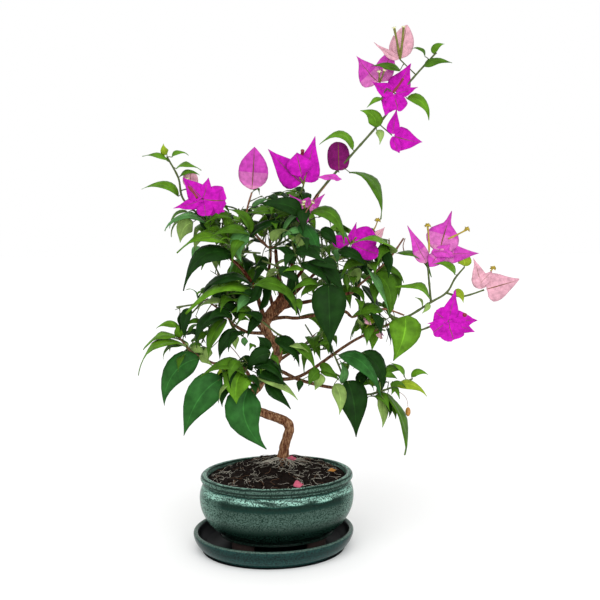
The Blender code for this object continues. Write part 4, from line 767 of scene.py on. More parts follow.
def along(line, share):
    """The point at a share of a line's length, and the line's direction there."""
    run = run_of(line)
    at = run[-1] * share
    k = max(j for j in range(len(run) - 1) if run[j] <= at)
    step = line[k + 1] - line[k]
    return line[k] + step * ((at - run[k]) / step.length), step.normalized()


def evenly(line, radii, step):
    """A line and its radii taken again at even steps, smoothed."""
    line = smooth_line([(*p, r) for p, r in zip(line, radii)], 8)
    run = run_of([p.to_3d() for p in line])
    count = max(2, round(run[-1] / step))
    spots, wide, k = [], [], 0
    for i in range(count + 1):
        at = run[-1] * i / count
        while k < len(run) - 2 and run[k + 1] < at:
            k += 1
        t = (at - run[k]) / max(run[k + 1] - run[k], 1e-9)
        mixed = line[k].lerp(line[k + 1], min(1, max(0, t)))
        spots.append(mixed.to_3d())
        wide.append(mixed[3])
    return spots, wide


def nearest(lines, spot):
    """The nearest point to a spot on a set of lines, and the line's direction there."""
    best = None
    for line in lines:
        for a, b in zip(line, line[1:]):
            run = b - a
            t = max(0, min(1, (spot - a).dot(run) / max(run.length_squared, 1e-6)))
            point = a + run * t
            away = (point - spot).length
            if best is None or away < best[0]:
                best = (away, point, run.normalized())
    return best[1], best[2]


def square_to(direction, wish):
    """The part of a wished direction that stands square to another one."""
    out = wish - direction * wish.dot(direction)
    if out.length < 0.05:
        out = direction.orthogonal()
    return out.normalized()


def outward(way, side, turn):
    """A direction square to a way: one side of it, turned round it."""
    return side * math.cos(turn) + way.cross(side) * math.sin(turn)


def way_at(line, k):
    """The way that a line runs past one of its points."""
    return (line[min(k + 1, len(line) - 1)] - line[max(k - 1, 0)]).normalized()


def arched(foot, tip, face, share):
    """A point of a leaf's midrib, which rises from its foot and bends down to its tip."""
    chord = tip - foot
    bend = foot + chord * ARCH_AT + face * (2 * arch_height(chord))
    return foot * (1 - share) ** 2 + bend * (2 * share * (1 - share)) + tip * share**2


def arch_height(chord):
    level = Vector((chord.x, 0, chord.z)).length / chord.length
    return (ARCH_HANGING + ARCH_LEVEL * level) * chord.length


def blade_room(leaf, kind, spare=0.0):
    """Points and faces of the plain thin blade that a leaf fills in the solids, in metres."""
    foot, start, tip, face, rise, width = leaf
    chord = (tip - start).normalized()
    side = chord.cross(face).normalized()
    rows = [(foot - face * 0.2, LEAF_NECK, 1.0)]
    for share, reach in BLADE_ROWS[kind]:
        rows.append((arched(start, tip, rise, share), width / 2 * reach, LEAF_THICK))
    spots = []
    for middle, reach, thick in rows:
        top = middle + face * (thick * KEEL_SHARE + spare)
        aside = side * (reach + spare)
        spots += [top - aside, top + aside, top - face * (thick + 2 * spare)]
    spots.append(tip + chord * spare)
    faces = [(0, 1, 2)]
    for row in range(0, 3 * (len(rows) - 1), 3):
        for k in range(3):
            a, b = row + k, row + (k + 1) % 3
            faces += [(a, a + 3, b + 3), (a, b + 3, b)]
    last = 3 * (len(rows) - 1)
    faces += [(last + k, last + 3, last + (k + 1) % 3) for k in range(3)]
    return [place(s) for s in spots], faces


def placed_leaf(lines, foot_across, foot_up, tip_across, tip_up, tip_toward, shown, bow=None):
    """A leaf seen in the front view, turned so that it shows the width stated."""
    tip = Vector((tip_across, tip_up, tip_toward))
    flat_lines = [[Vector((p.x, p.y, 0)) for p in line] for line in lines]
    near, _ = nearest(flat_lines, Vector((foot_across, foot_up, 0)))
    points = (p for line in lines for p in finer(line))
    best = min(points, key=lambda p: (Vector((p.x, p.y, 0)) - near).length)
    start = Vector((foot_across, foot_up, best.z * 0.7 + tip_toward * 0.3))
    chord = tip - start
    direction = chord.normalized()
    width = max(shown, LEAF_WIDTH_RATIO * chord.length)
    toward = square_to(direction, Vector((0, 0, 1)))
    over = square_to(direction, Vector((0.001 * tip_across, 1, 0)))
    over = (over - toward * over.dot(toward)).normalized()
    showing = shown / width
    face = (toward * showing + over * math.sqrt(max(0, 1 - showing**2))).normalized()
    if bow is None:
        rise = square_to(direction, Vector((0.01 * tip_across, 1, 0.4)))
    else:
        left = Vector((-direction.y, direction.x, 0)).normalized()
        rise = left * (bow / arch_height(chord)) + toward * BOW_TOWARD
    return best, start, tip, face, rise, width


def finer(line):
    """A line's points with three more in each stretch."""
    return [a.lerp(b, k / 4) for a, b in zip(line, line[1:]) for k in range(4)] + [line[-1]]


def rule_leaf(rng, point, direction, turn, length):
    """A leaf that the rule grows from a point of a shoot, on its spiral round the shoot."""
    side = square_to(direction, Vector((0, 0, 1)))
    out = outward(direction, side, turn)
    way = (out + direction * LEAF_LEAN + Vector((0, LEAF_LIFT, 0))).normalized()
    start = point + way * PETIOLE * rng.uniform(*PETIOLE_REACH)
    droop = Vector((0, -rng.uniform(*LEAF_DROOP), 0))
    tip = start + (way + droop).normalized() * length
    chord = (tip - start).normalized()
    rise = square_to(chord, Vector((way.x * 0.3, 1, way.z * 0.3)))
    face = square_to(chord, Vector((rng.uniform(*LEAF_SWAY), 1, rng.uniform(*LEAF_TOWARD))))
    return point, start, tip, face, rise, length * rng.uniform(*LEAF_WIDTH)


def in_space(space, spot):
    """Whether a point lies in the oval room of a mass."""
    middle, half = space
    return sum(((s - m) / h) ** 2 for s, m, h in zip(spot, middle, half)) < 1


def in_gap(spot):
    """Whether a point is seen in one of the gaps."""
    eye = Vector(LENS_SPOT)
    seen = eye + (spot - eye) * (eye.z / (eye.z - spot.z))
    return any(math.hypot(seen.x - across, seen.y - up) < radius for across, up, radius in GAPS)


def over_gap(leaf):
    """Whether a leaf would cover one of the gaps."""
    _, start, tip, face, rise, width = leaf
    side = (tip - start).cross(face).normalized() * (width / 2)
    middle = [arched(start, tip, rise, k / 4) for k in range(5)]
    return any(in_gap(spot) for spot in middle + [middle[1] - side, middle[1] + side])


def prism(line, radii):
    """The room of a three-sided twig, in metres, for the tests of what crosses what."""
    spots, faces = [], [(0, 2, 1)]
    for k, (point, radius) in enumerate(zip(line, radii)):
        way = way_at(line, k)
        side = square_to(way, SIDE_WISH)
        for i in range(3):
            spots.append(place(point + outward(way, side, i * math.tau / 3) * radius))
        if k:
            for i in range(3):
                a, b = 3 * (k - 1) + i, 3 * (k - 1) + (i + 1) % 3
                faces += [(a, b, b + 3), (a, b + 3, a + 3)]
    last = 3 * (len(line) - 1)
    return spots, faces + [(last, last + 1, last + 2)]


def corners(spots):
    """The lowest and highest corner of the box round some points."""
    return [[pick(s[i] for s in spots) for i in range(3)] for pick in (min, max)]


class Room:
    """What stands already: limbs, twigs and blades, each with its node, box and faces."""

    def __init__(self):
        self.taken = []

    def keep(self, node, spots, faces):
        """Notes a shape as standing."""
        self.taken.append((node, *corners(spots), BVHTree.FromPolygons(spots, faces)))

    def is_clear(self, spots, faces, ignore=(), only=None):
        """Whether a shape crosses nothing that stands."""
        low, high = corners(spots)
        tree = None
        for node, other_low, other_high, other in self.taken:
            if low[0] > other_high[0] or high[0] < other_low[0]:
                continue
            if low[1] > other_high[1] or high[1] < other_low[1]:
                continue
            if low[2] > other_high[2] or high[2] < other_low[2]:
                continue
            if node in ignore or (only and node not in only):
                continue
            tree = tree or BVHTree.FromPolygons(spots, faces)
            if tree.overlap(other):
                return False
        return True


class Growth:
    """One mass of foliage, grown by the rule of the solids and then to finer spurs."""

    def __init__(self, name, plan, limbs, room):
        self.name, self.plan, self.room = name, plan, room
        self.node = name + "_mass"
        self.bough = plan.get("bough", name) + "_bough"
        self.bough_line = limbs[self.bough][0]
        self.own = (self.node + " twig", self.node + " blade")
        self.lines, self.twigs, self.leaves, self.bracts, self.blossoms = [], [], [], [], []

    def twig(self, stations, foot, tip, ignore, kind):
        """Adds a twig if it's clear of everything outside the mass."""
        line = smooth_line(stations, 1)
        radii = steady(foot, tip, len(line))
        spots, faces = prism(line, radii)
        if not self.room.is_clear(spots, faces, ignore):
            return False
        self.lines.append(line)
        self.twigs.append((line, radii, kind))
        self.room.keep(self.own[0], spots, faces)
        return True

    def grow_shoots(self):
        """The stem that goes on from the bough, and the shoots that branch off it."""
        for i, stations in enumerate(self.plan["shoots"]):
            stations = [Vector(s) for s in stations]
            ignore, thick = self.own, TWIG_FOOT * SHOOT_SHARE
            if i == 0:
                end = self.bough_line[-1]
                way = (end - self.bough_line[-2]).normalized()
                stations = [end + way * (GAP + 0.05), end + way * STEM_STRAIGHT] + stations[1:]
                thick, ignore = TWIG_FOOT, self.own + (self.bough,)
            else:
                stations[0] = nearest(self.lines, stations[0])[0]
            kind = "wood" if i < self.plan.get("wood", 0) else "green"
            if not self.twig(stations, thick, TWIG_TIP, ignore, kind):
                raise RuntimeError("a shoot of %s isn't clear" % self.name)

    def grow_side_twigs(self):
        """Short twigs along the shoots, where the mass has room and no gap is seen."""
        for i, line in enumerate(self.lines[: len(self.plan["shoots"])]):
            count = round(run_of(line)[-1] / self.plan["twigs"])
            for k in range(count):
                rng = random.Random("%s twig %d %d" % (self.name, i, k))
                point, way = along(line, (k + 0.8) / count)
                side = square_to(way, Vector((0, 0, 1)))
                reach = SIDE_TWIG * rng.uniform(*SIDE_TWIG_REACH)
                for attempt in range(TRIES):
                    sway = rng.uniform(-SIDE_TWIG_SWAY, SIDE_TWIG_SWAY)
                    out = outward(way, side, k * SPIRAL + i + sway + attempt * SIDE_TWIG_NEXT)
                    out = out + way * SIDE_TWIG_LEAN + Vector((0, SIDE_TWIG_LIFT, 0))
                    tip = point + out.normalized() * reach
                    if not in_space(self.plan["space"], tip):
                        continue
                    if in_gap(tip) or in_gap(point.lerp(tip, 0.5)):
                        continue
                    if self.twig([point, tip], SIDE_TWIG_FOOT, TWIG_TIP, self.own[:1], "green"):
                        break

    def add_blade(self, leaf, kind, tone):
        """Adds a leaf if it's clear of what's outside the mass and crosses nothing of the mass's own."""
        spots, faces = blade_room(leaf, kind)
        if not self.room.is_clear(*blade_room(leaf, kind, CLEAR_OF_OTHERS), self.own):
            return False
        outer = [tuple(i - 3 for i in f) for f in faces if min(f) >= 3]
        if not self.room.is_clear(spots[3:], outer, only=self.own):
            return False
        self.room.keep(self.own[1], spots, faces)
        self.leaves.append((leaf, tone))
        return True

    def grow_blossoms(self):
        """The bracts of each blossom, on a stalk where the blossom stands off its twig."""
        for paper, tubes, middle, *tips in self.plan.get("blossoms", ()):
            middle = Vector(middle)
            foot, _ = nearest(self.lines, middle)
            if (foot - middle).length < STALK_SHORTEST:
                middle = foot
            else:
                self.twig([foot, middle], STALK_RADIUS, STALK_RADIUS, self.own, "stalk")
            self.blossoms.append((paper, tubes, middle, [Vector(t[:3]) for t in tips]))
            for x, y, z, width, *outline in tips:
                tip = Vector((x, y, z))
                way = (tip - middle).normalized()
                face = square_to(way, Vector((0, 0.15, 1)))
                start = middle.lerp(tip, BRACT_START)
                bract = (middle, start, tip, face, face * -BRACT_HOLLOW, width)
                spots, faces = blade_room(bract, "bract")
                self.room.keep(self.own[1], spots, faces)
                self.bracts.append((bract, paper, outline[0] if outline else "pointed"))

    def grow_placed_leaves(self):
        """The leaves that are placed one by one, moved toward or away where something is in the way."""
        for leaf in self.plan.get("leaves", ()):
            *seen, toward, shown, bow, tone = leaf if len(leaf) > 7 else leaf[:6] + (None, leaf[6])
            for shift in PLACED_SHIFTS:
                moved = placed_leaf(self.lines, *seen, toward + shift, shown, bow)
                if self.add_blade(moved, "placed", tone):
                    break

    def grow_rule_leaves(self):
        """Leaves at even steps on a spiral round every twig."""
        for i, line in enumerate(self.lines):
            count = max(2, round(run_of(line)[-1] / self.plan["spacing"]))
            for k in range(count):
                rng = random.Random("%s %d %d" % (self.name, i, k))
                share = (k + 0.97) / count
                point, way = along(line, share)
                size = self.plan["leaf"] * rng.uniform(*LEAF_REACH)
                size *= LEAF_SHORTENS[0] - LEAF_SHORTENS[1] * share
                tone = self.plan["tones"][(3 * i + k) % len(self.plan["tones"])]
                for attempt in range(TRIES):
                    turn = k * SPIRAL + i * LEAF_NEXT_LINE + attempt * LEAF_NEXT
                    leaf = rule_leaf(rng, point, way, turn, size * TRY_SHRINKS**attempt)
                    if not in_space(self.plan["space"], leaf[2]) or over_gap(leaf):
                        continue
                    if self.add_blade(leaf, "rule", tone):
                        break

    def grow_spurs(self):
        """Short fine twigs with up to three small leaves each, between the leaves that stand."""
        for i, line in enumerate(list(self.lines)):
            count = max(1, round(run_of(line)[-1] / SPUR_EVERY))
            for k in range(count):
                rng = random.Random("%s spur %d %d" % (self.name, i, k))
                point, way = along(line, (k + 0.5) / count)
                side = square_to(way, Vector((0, 1, 0.3)))
                for attempt in range(TRIES):
                    turn = k * SPIRAL + i * 0.7 + attempt * SIDE_TWIG_NEXT
                    out = outward(way, side, turn) + way * SPUR_LEAN + Vector((0, SPUR_LIFT, 0))
                    tip = point + out.normalized() * SPUR * rng.uniform(*SPUR_REACH)
                    if not in_space(self.plan["space"], tip):
                        continue
                    spots, faces = prism([point.lerp(tip, 0.2), tip], [SPUR_FOOT, SPUR_TIP])
                    if not self.room.is_clear(spots, faces, self.own[:1]):
                        continue
                    grown = 0
                    for n, share in enumerate(SPUR_LEAVES_AT):
                        size = self.plan["leaf"] * SPUR_LEAF * rng.uniform(*SPUR_LEAF_REACH)
                        spot, ahead = point.lerp(tip, share), (tip - point).normalized()
                        leaf = rule_leaf(rng, spot, ahead, turn + n * SPIRAL, size)
                        tone = self.plan["tones"][(k + n + i) % len(self.plan["tones"])]
                        if not in_space(self.plan["space"], leaf[2]) or over_gap(leaf):
                            continue
                        if self.add_blade(leaf, "rule", tone):
                            grown += 1
                    if grown:
                        self.twigs.append(([point, tip], [SPUR_FOOT, SPUR_TIP], "spur"))
                        break


@functools.lru_cache(maxsize=1)
def grown():
    """Lines of the limbs and the masses that grow on from them."""
    line = smooth_line(TRUNK, 2)
    limbs = {"trunk": ([Vector(s[:3]) for s in line], [s[3] for s in line])}
    for name, (foot, tip, *stations) in BOUGHS.items():
        line = smooth_line(stations, 2 if len(stations) < 5 else 1)
        limbs[name + "_bough"] = (line, steady(foot, tip, len(line)))
    room = Room()
    for node in limbs:
        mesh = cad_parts[node].data
        mesh.calc_loop_triangles()
        faces = [tuple(t.vertices) for t in mesh.loop_triangles]
        room.keep(node, [v.co.copy() for v in mesh.vertices], faces)
    masses = [Growth(name, plan, limbs, room) for name, plan in MASSES.items()]
    for step in (
        Growth.grow_shoots, Growth.grow_blossoms, Growth.grow_placed_leaves, Growth.grow_side_twigs,
        Growth.grow_rule_leaves, Growth.grow_spurs,
    ):
        for mass in masses:
            step(mass)
    return limbs, masses


def drawn_in(spot):
    """A point in metres, drawn in softly where it would pass the solids' box."""
    spot = spot.copy()
    for axis, (low, high) in enumerate(WHOLE_BOX):
        for sign, side in ((-1, low), (1, high)):
            over = (spot[axis] - side * MM) * sign + BOX_EASE * MM
            if over > 0:
                spot[axis] += sign * (math.tanh(over / (BOX_EASE * MM)) * BOX_EASE * MM - over)
    return spot


def mesh_of(name, bm):
    """A mesh that takes over a bmesh."""
    mesh = bpy.data.meshes.new(name)
    bm.to_mesh(mesh)
    bm.free()
    return mesh


def add_object(name, data):
    """A new object in the scene."""
    new = bpy.data.objects.new(name, data)
    bpy.context.scene.collection.objects.link(new)
    return new


class Piece:
    """A mesh object that small shapes are joined to."""

    def __init__(self, name):
        self.name, self.bm = name, bmesh.new()

    def join(self, bm):
        """Adds a small bmesh and frees it."""
        mesh = mesh_of("part", bm)
        self.bm.from_mesh(mesh)
        bpy.data.meshes.remove(mesh)

    def finish_foliage(self, looks, thickness=0):
        """Finishes a piece that stands, with others, for the solids of the masses."""
        self.finish(looks, "leafage", [name + "_mass" for name in MASSES], thickness=thickness)

    def finish(self, looks, slot, nodes, smooth=True, thickness=0):
        """Makes the object with its materials and thickness, and rides it on the frame."""
        if slot == "leafage":
            for v in self.bm.verts:
                v.co = drawn_in(v.co)
        mesh = mesh_of(self.name, self.bm)
        if smooth:
            mesh.shade_smooth()
        piece = add_object(self.name, mesh)
        for look in looks:
            mesh.materials.append(look)
        if thickness:
            wall = piece.modifiers.new("Thickness", "SOLIDIFY")
            wall.thickness = thickness
            wall.offset = 0
            wall.material_offset = 1
            wall.use_quality_normals = True
        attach(piece, "root")
        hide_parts(*nodes)


def turning_frames(line):
    """A frame at each point of a line, turned as little as can be from one to the next."""
    frames, side = [], None
    for k, point in enumerate(line):
        way = way_at(line, k)
        side = square_to(way, side or SIDE_WISH)
        other = way.cross(side)
        frames.append(Matrix((side, other, way)).transposed().to_4x4())
        frames[-1].translation = point
    return frames


def tube(line, radii, sides, relief=None):
    """A round rod along a line in metres, as a small bmesh; relief gives a share of the radius."""
    bm = bmesh.new()
    ring = bmesh.ops.create_circle(bm, segments=sides, radius=1, cap_ends=True)["verts"]
    edges = list({e for v in ring for e in v.link_edges})
    home = Matrix()
    run = 0.0
    for k, (spot, radius) in enumerate(zip(turning_frames(line), radii)):
        if k:
            run += (line[k] - line[k - 1]).length
            made = bmesh.ops.extrude_edge_only(bm, edges=edges)["geom"]
            ring = [g for g in made if isinstance(g, bmesh.types.BMVert)]
            edges = [g for g in made if isinstance(g, bmesh.types.BMEdge) and len(g.link_faces) == 1]
        back = home.inverted()
        for v in ring:
            local = back @ v.co
            angle = math.atan2(local.y, local.x)
            reach = radius * (1 + (relief(run, angle) if relief else 0))
            v.co = spot @ Vector((math.cos(angle) * reach, math.sin(angle) * reach, 0))
        home = spot
    bmesh.ops.contextual_create(bm, geom=edges)
    bmesh.ops.recalc_face_normals(bm, faces=bm.faces)
    return bm


def rod(line, radii, sides, relief=None):
    """A tube along a line of the tree's frame, with radii in millimetres."""
    return tube([place(p) for p in line], [r * MM for r in radii], sides, relief)


def bark_relief(depth, seed):
    """Ridges that run along a limb, with knots and cracks, as a share of its radius."""
    def relief(run, angle):
        at = Vector((math.cos(angle) * 1.3, math.sin(angle) * 1.3, run * 90 + seed))
        ridges = noise.noise(at * 2.6)
        grain = noise.noise(Vector((math.cos(angle) * 4.5, math.sin(angle) * 4.5, run * 160 + seed)))
        knots = noise.noise(Vector((math.cos(angle) * 0.8, math.sin(angle) * 0.8, run * 210 + 2 * seed)))
        rings = 0.35 * math.sin(run * 900 + 3 * noise.noise(at))
        return depth * (0.75 * ridges + 0.5 * grain + 0.6 * max(0, knots) + 0.12 * rings)
    return relief


def sheet(leaf, columns, outline, rng, fold, wave, crinkle=0.0, curl=0.0, twist=0.0, fading=0.0):
    """A leaf or bract: a grid shaped to its outline along the arched midrib, in metres.

    The middle column is the midrib and takes the third material. What fades toward the foot takes the
    fifth and then the seventh.
    """
    foot, start, tip, face, rise, width = leaf
    bm = bmesh.new()
    bmesh.ops.create_grid(bm, x_segments=len(columns) - 1, y_segments=len(outline) - 1, size=1)
    span = (tip - start).length
    half = width / 2 / math.cos(fold * 0.8)
    phase = rng.uniform(0, math.tau)
    waves = rng.uniform(1.2, 2.0)
    middle = (len(columns) - 1) / 2
    for f in bm.faces:
        spot = f.calc_center_median()
        share = (spot.y + 1) / 2
        if abs(spot.x) * middle < 0.5:
            f.material_index = 2
        elif share < fading:
            f.material_index = 4 if share > fading / 2 else 6
    for v in bm.verts:
        column = round((v.co.x + 1) * middle)
        share, reach = outline[round((v.co.y + 1) / 2 * (len(outline) - 1))]
        s = columns[column]
        mid = arched(start, tip, rise, share)
        before, after = (arched(start, tip, rise, at) for at in (share - 0.05, min(1, share + 0.05)))
        ahead = (after - before).normalized()
        up = square_to(ahead, face)
        side = ahead.cross(up)
        turn = Matrix.Rotation(twist * share, 3, ahead)
        up, side = turn @ up, turn @ side
        bend = fold * (1 - 0.5 * share)
        out = half * reach * s
        lift = abs(out) * math.tan(bend) - abs(s) ** 2.2 * half * reach * EDGE_DROOP
        swing = math.tau * waves * share + phase + (1.3 if s > 0 else 0)
        lift += wave * half * abs(s) ** 1.6 * math.sin(swing)
        if crinkle:
            lift += crinkle * noise.noise((mid + side * out) * 0.16 + Vector((phase, 0, 0)))
        drop = curl * span * max(0, share - CURL_FROM) ** 2 * 6
        v.co = place(mid + side * out * math.cos(bend) + up * (lift - drop))
    return bm


def lone_bract(foot, tip, face, width, rng):
    """An oval bract, or a dry leaf, that has no blossom or twig of its own."""
    leaf = (foot, foot, tip, face, face * 0.4, width)
    return sheet(leaf, BRACT_COLUMNS, BRACT_OUTLINES["egg"], rng, 0.3, 0.3, 2)


def put(look, kind, inputs=None, **settings):
    """Adds a node with its settings; an input takes a value or another node's output."""
    new = look.node_tree.nodes.new(kind)
    for key, value in settings.items():
        setattr(new, key, value)
    for socket, value in (inputs or {}).items():
        if isinstance(value, bpy.types.NodeSocket):
            look.node_tree.links.new(value, new.inputs[socket])
        else:
            new.inputs[socket].default_value = value
    return new


def plain_finish(name, roughness, **sockets):
    """A new material with its Principled shader; a socket's underscores stand for blanks."""
    look = bpy.data.materials.new(name)
    look.use_nodes = True
    shader = look.node_tree.nodes["Principled BSDF"]
    shader.inputs["Roughness"].default_value = roughness
    for socket, value in sockets.items():
        shader.inputs[socket.replace("_", " ")].default_value = value
    return look, shader


def spots_on(look):
    """The places on the object itself, so that a pattern stays where it is."""
    return put(look, "ShaderNodeTexCoord").outputs["Object"]


def clouds(look, where, width, detail):
    """A noise whose features are this many millimetres wide."""
    inputs = {"Vector": where, "Scale": 1 / (width * MM), "Detail": detail}
    return put(look, "ShaderNodeTexNoise", inputs).outputs["Fac"]


def stretched(look, where, scale):
    """Places taken closer together or further apart, so that a noise on them is drawn out."""
    return put(look, "ShaderNodeMapping", {"Vector": where, "Scale": scale}).outputs["Vector"]


def calculated(look, operation, *values):
    """What a sum gives of values or of other nodes' outputs."""
    return put(look, "ShaderNodeMath", dict(enumerate(values)), operation=operation).outputs[0]


def share_of_way(look, value, low, high, most=1):
    """How far a coordinate is from one mark to the next, both in millimetres, as 0 to most."""
    inputs = {"Value": value, "From Min": low * MM, "From Max": high * MM, "To Max": most}
    return put(look, "ShaderNodeMapRange", inputs).outputs["Result"]


def blended(look, factor, first, second, way="MIX"):
    """Two colours mixed by a factor."""
    inputs = {"Factor": factor, "A": first, "B": second}
    return put(look, "ShaderNodeMix", inputs, data_type="RGBA", blend_type=way).outputs["Result"]


def ramp(look, factor, stops):
    """A colour ramp over a factor, from positions and colours; a bare number is a grey."""
    new = put(look, "ShaderNodeValToRGB", {"Fac": factor})
    band = new.color_ramp
    while len(band.elements) < len(stops):
        band.elements.new(0.5)
    for element, (position, value) in zip(band.elements, stops):
        element.position = position
        element.color = (value, value, value, 1) if isinstance(value, (int, float)) else value
    return new.outputs["Color"]


def ramp_up_pot(look, factor, stops):
    """A ramp over the height of the glaze, with its stops in millimetres."""
    reach = GLAZE_HIGH - GLAZE_LOW
    return ramp(look, factor, [((z - GLAZE_LOW) / reach, value) for z, value in stops])


def dress(look, shader, value, height=None, depth=0.0):
    """Links a colour to the shader, and a relief that is this many millimetres deep."""
    links = look.node_tree.links
    links.new(value, shader.inputs["Base Color"])
    if height is not None:
        inputs = {"Height": height, "Strength": 1, "Distance": depth * MM}
        relief = put(look, "ShaderNodeBump", inputs)
        links.new(relief.outputs["Normal"], shader.inputs["Normal"])
    return look


def shade(value, factor):
    """A colour made darker or paler by a factor."""
    return tuple(min(1.0, c * factor) for c in value[:3]) + (1.0,)


def shades(looks, bands):
    """Stops of a ramp, from positions, names of the glazes and how pale each is."""
    return [(at, shade(getattr(looks, "glaze_" + name), factor)) for at, name, factor in bands]


def mottled(name, value, roughness, patch_mm, low=0.75, high=1.25, bump=0.0, bump_mm=1.0, **sockets):
    """A material whose colour wavers round one value, in patches of a real size."""
    look, shader = plain_finish(name, roughness, **sockets)
    where = spots_on(look)
    patches = clouds(look, where, patch_mm, 3)
    wavering = ramp(look, patches, ((0.32, shade(value, low)), (0.68, shade(value, high))))
    grain = clouds(look, where, bump_mm, 4) if bump else None
    return dress(look, shader, wavering, grain, bump)


def leaf_finish(name, value):
    # Living leaf: waxy upper side with a soft sheen, which gives the eye broad dull lights
    return mottled(name, value, 0.42, 9, 0.72, 1.3, 0.12, 2.2, Specular_IOR_Level=0.05)


def paper_finish(name, value):
    # Papery bract: thin, dry and finely crinkled, matt with a faint fuzz at grazing angles
    return mottled(
        name, value, 0.62, 4, 0.78, 1.2, 0.22, 1.4, Specular_IOR_Level=0.06, Sheen_Weight=0.03,
        Sheen_Roughness=0.5,
    )


def bark_finish(looks, name="bougainvillea bark", depth=1.0):
    # Young bark: matt brown skin, split lengthwise, with pale ridges from wear that also carry a painted
    # highlight and dark cracks that carry painted shade; redder and, as painted shade, darker up in the
    # crown; depth darkens it all as painted shade, for the boughs
    look, shader = plain_finish(name, 0.85, Specular_IOR_Level=0.08)
    where = spots_on(look)
    strips = calculated(look, "MULTIPLY", clouds(look, stretched(look, where, (1, 1, 0.3)), 1.5, 5), 0.72)
    ridges = calculated(look, "MULTIPLY_ADD", clouds(look, where, 0.7, 2), 0.28, strips)
    # Pale ridges carry a painted highlight and dark cracks painted shade, following the bark's relief
    stops = ((0.38, looks.bark_crack_and_painted_shade), (0.49, looks.bark_brown), (0.62, looks.bark_ridge_wear_and_highlight))
    worn_and_painted_light = ramp(look, ridges, [(at, shade(value, depth)) for at, value in stops])
    split = put(look, "ShaderNodeSeparateXYZ", {"Vector": where}).outputs
    # Redder and, as painted shade, darker up in the crown
    high = share_of_way(look, split["Z"], *BARK_REDDENS_AND_PAINTED_SHADE)
    return dress(look, shader, blended(look, high, worn_and_painted_light, looks.bark_red_and_painted_shade, "MULTIPLY"), ridges, 0.5)


def glaze_finish(looks):
    # Reduced celadon glaze on stoneware: glassy, grey green with dark flecks. Its colour also paints light:
    # a painted reflection in pale turquoise round the shoulder, darker glaze with painted shade in the
    # grooves and low on the belly, and painted rim light that makes the ends paler
    look, shader = plain_finish(
        "celadon glaze", 0.25, Coat_Weight=0.05, Coat_Roughness=0.05, Specular_IOR_Level=0.05
    )
    where = spots_on(look)
    split = put(look, "ShaderNodeSeparateXYZ", {"Vector": where}).outputs
    drift = clouds(look, where, 16, 3)
    drifting = calculated(look, "MULTIPLY_ADD", drift, 2 * GLAZE_DRIFT * MM, split["Z"])
    height = share_of_way(look, drifting, GLAZE_LOW + GLAZE_DRIFT, GLAZE_HIGH + GLAZE_DRIFT)
    # Bands by height: glaze colours with a painted reflection round the shoulder, painted shade low on the
    # belly and a painted highlight at the rim's top
    bands = ramp_up_pot(look, height, shades(looks, GLAZE_BANDS))
    streaks = clouds(look, stretched(look, where, (0.35, 0.35, 2.2)), 7, 3)
    streaked = blended(look, ramp(look, streaks, ((0.40, 0), (0.60, 1))), bands, looks.glaze_dark)
    # Dark runs across the painted reflection round the shoulder
    runs_in_painted_reflection = blended(look, ramp_up_pot(look, height, GLAZE_RUNS), bands, streaked)
    # Painted rim light: the ends are painted paler toward the sides
    aside = calculated(look, "ABSOLUTE", split["X"])
    ends = share_of_way(look, aside, GLAZE_PAINTED_RIM_LIGHT_FROM, GLAZE_PAINTED_RIM_LIGHT_TO, 0.7)
    paler = blended(look, ends, runs_in_painted_reflection, shade(looks.glaze_light, 1.9))
    # Dark lines in the grooves: darker glaze with painted shade
    level = share_of_way(look, split["Z"], GLAZE_LOW, GLAZE_HIGH)
    grooved = blended(look, ramp_up_pot(look, level, GLAZE_GROOVES), paler, shade(looks.glaze_dark, 0.5))
    flecks = ramp(look, clouds(look, where, 1.1, 2), ((0.42, 1), (0.54, 0)))
    return dress(look, shader, blended(look, flecks, grooved, looks.glaze_fleck))


def saucer_finish(looks):
    # The same glassy glaze, fired darker and bluer, with a pale edge where it runs thin that is also a
    # painted highlight, and painted paler low on the wall, against the shade where it curves under
    look, shader = plain_finish(
        "dark teal glaze", 0.25, Coat_Weight=0.06, Coat_Roughness=0.05, Specular_IOR_Level=0.1
    )
    where = spots_on(look)
    split = put(look, "ShaderNodeSeparateXYZ", {"Vector": where}).outputs
    height = share_of_way(look, split["Z"], 0, SAUCER_HEIGHT)
    # Painted light low on the wall and a painted highlight along the edge
    bands = ramp(look, height, shades(looks, SAUCER_BANDS))
    flecks = ramp(look, clouds(look, where, 1.3, 2), ((0.38, 0.7), (0.56, 0)))
    return dress(look, shader, blended(look, flecks, bands, looks.saucer_black_and_painted_shade))


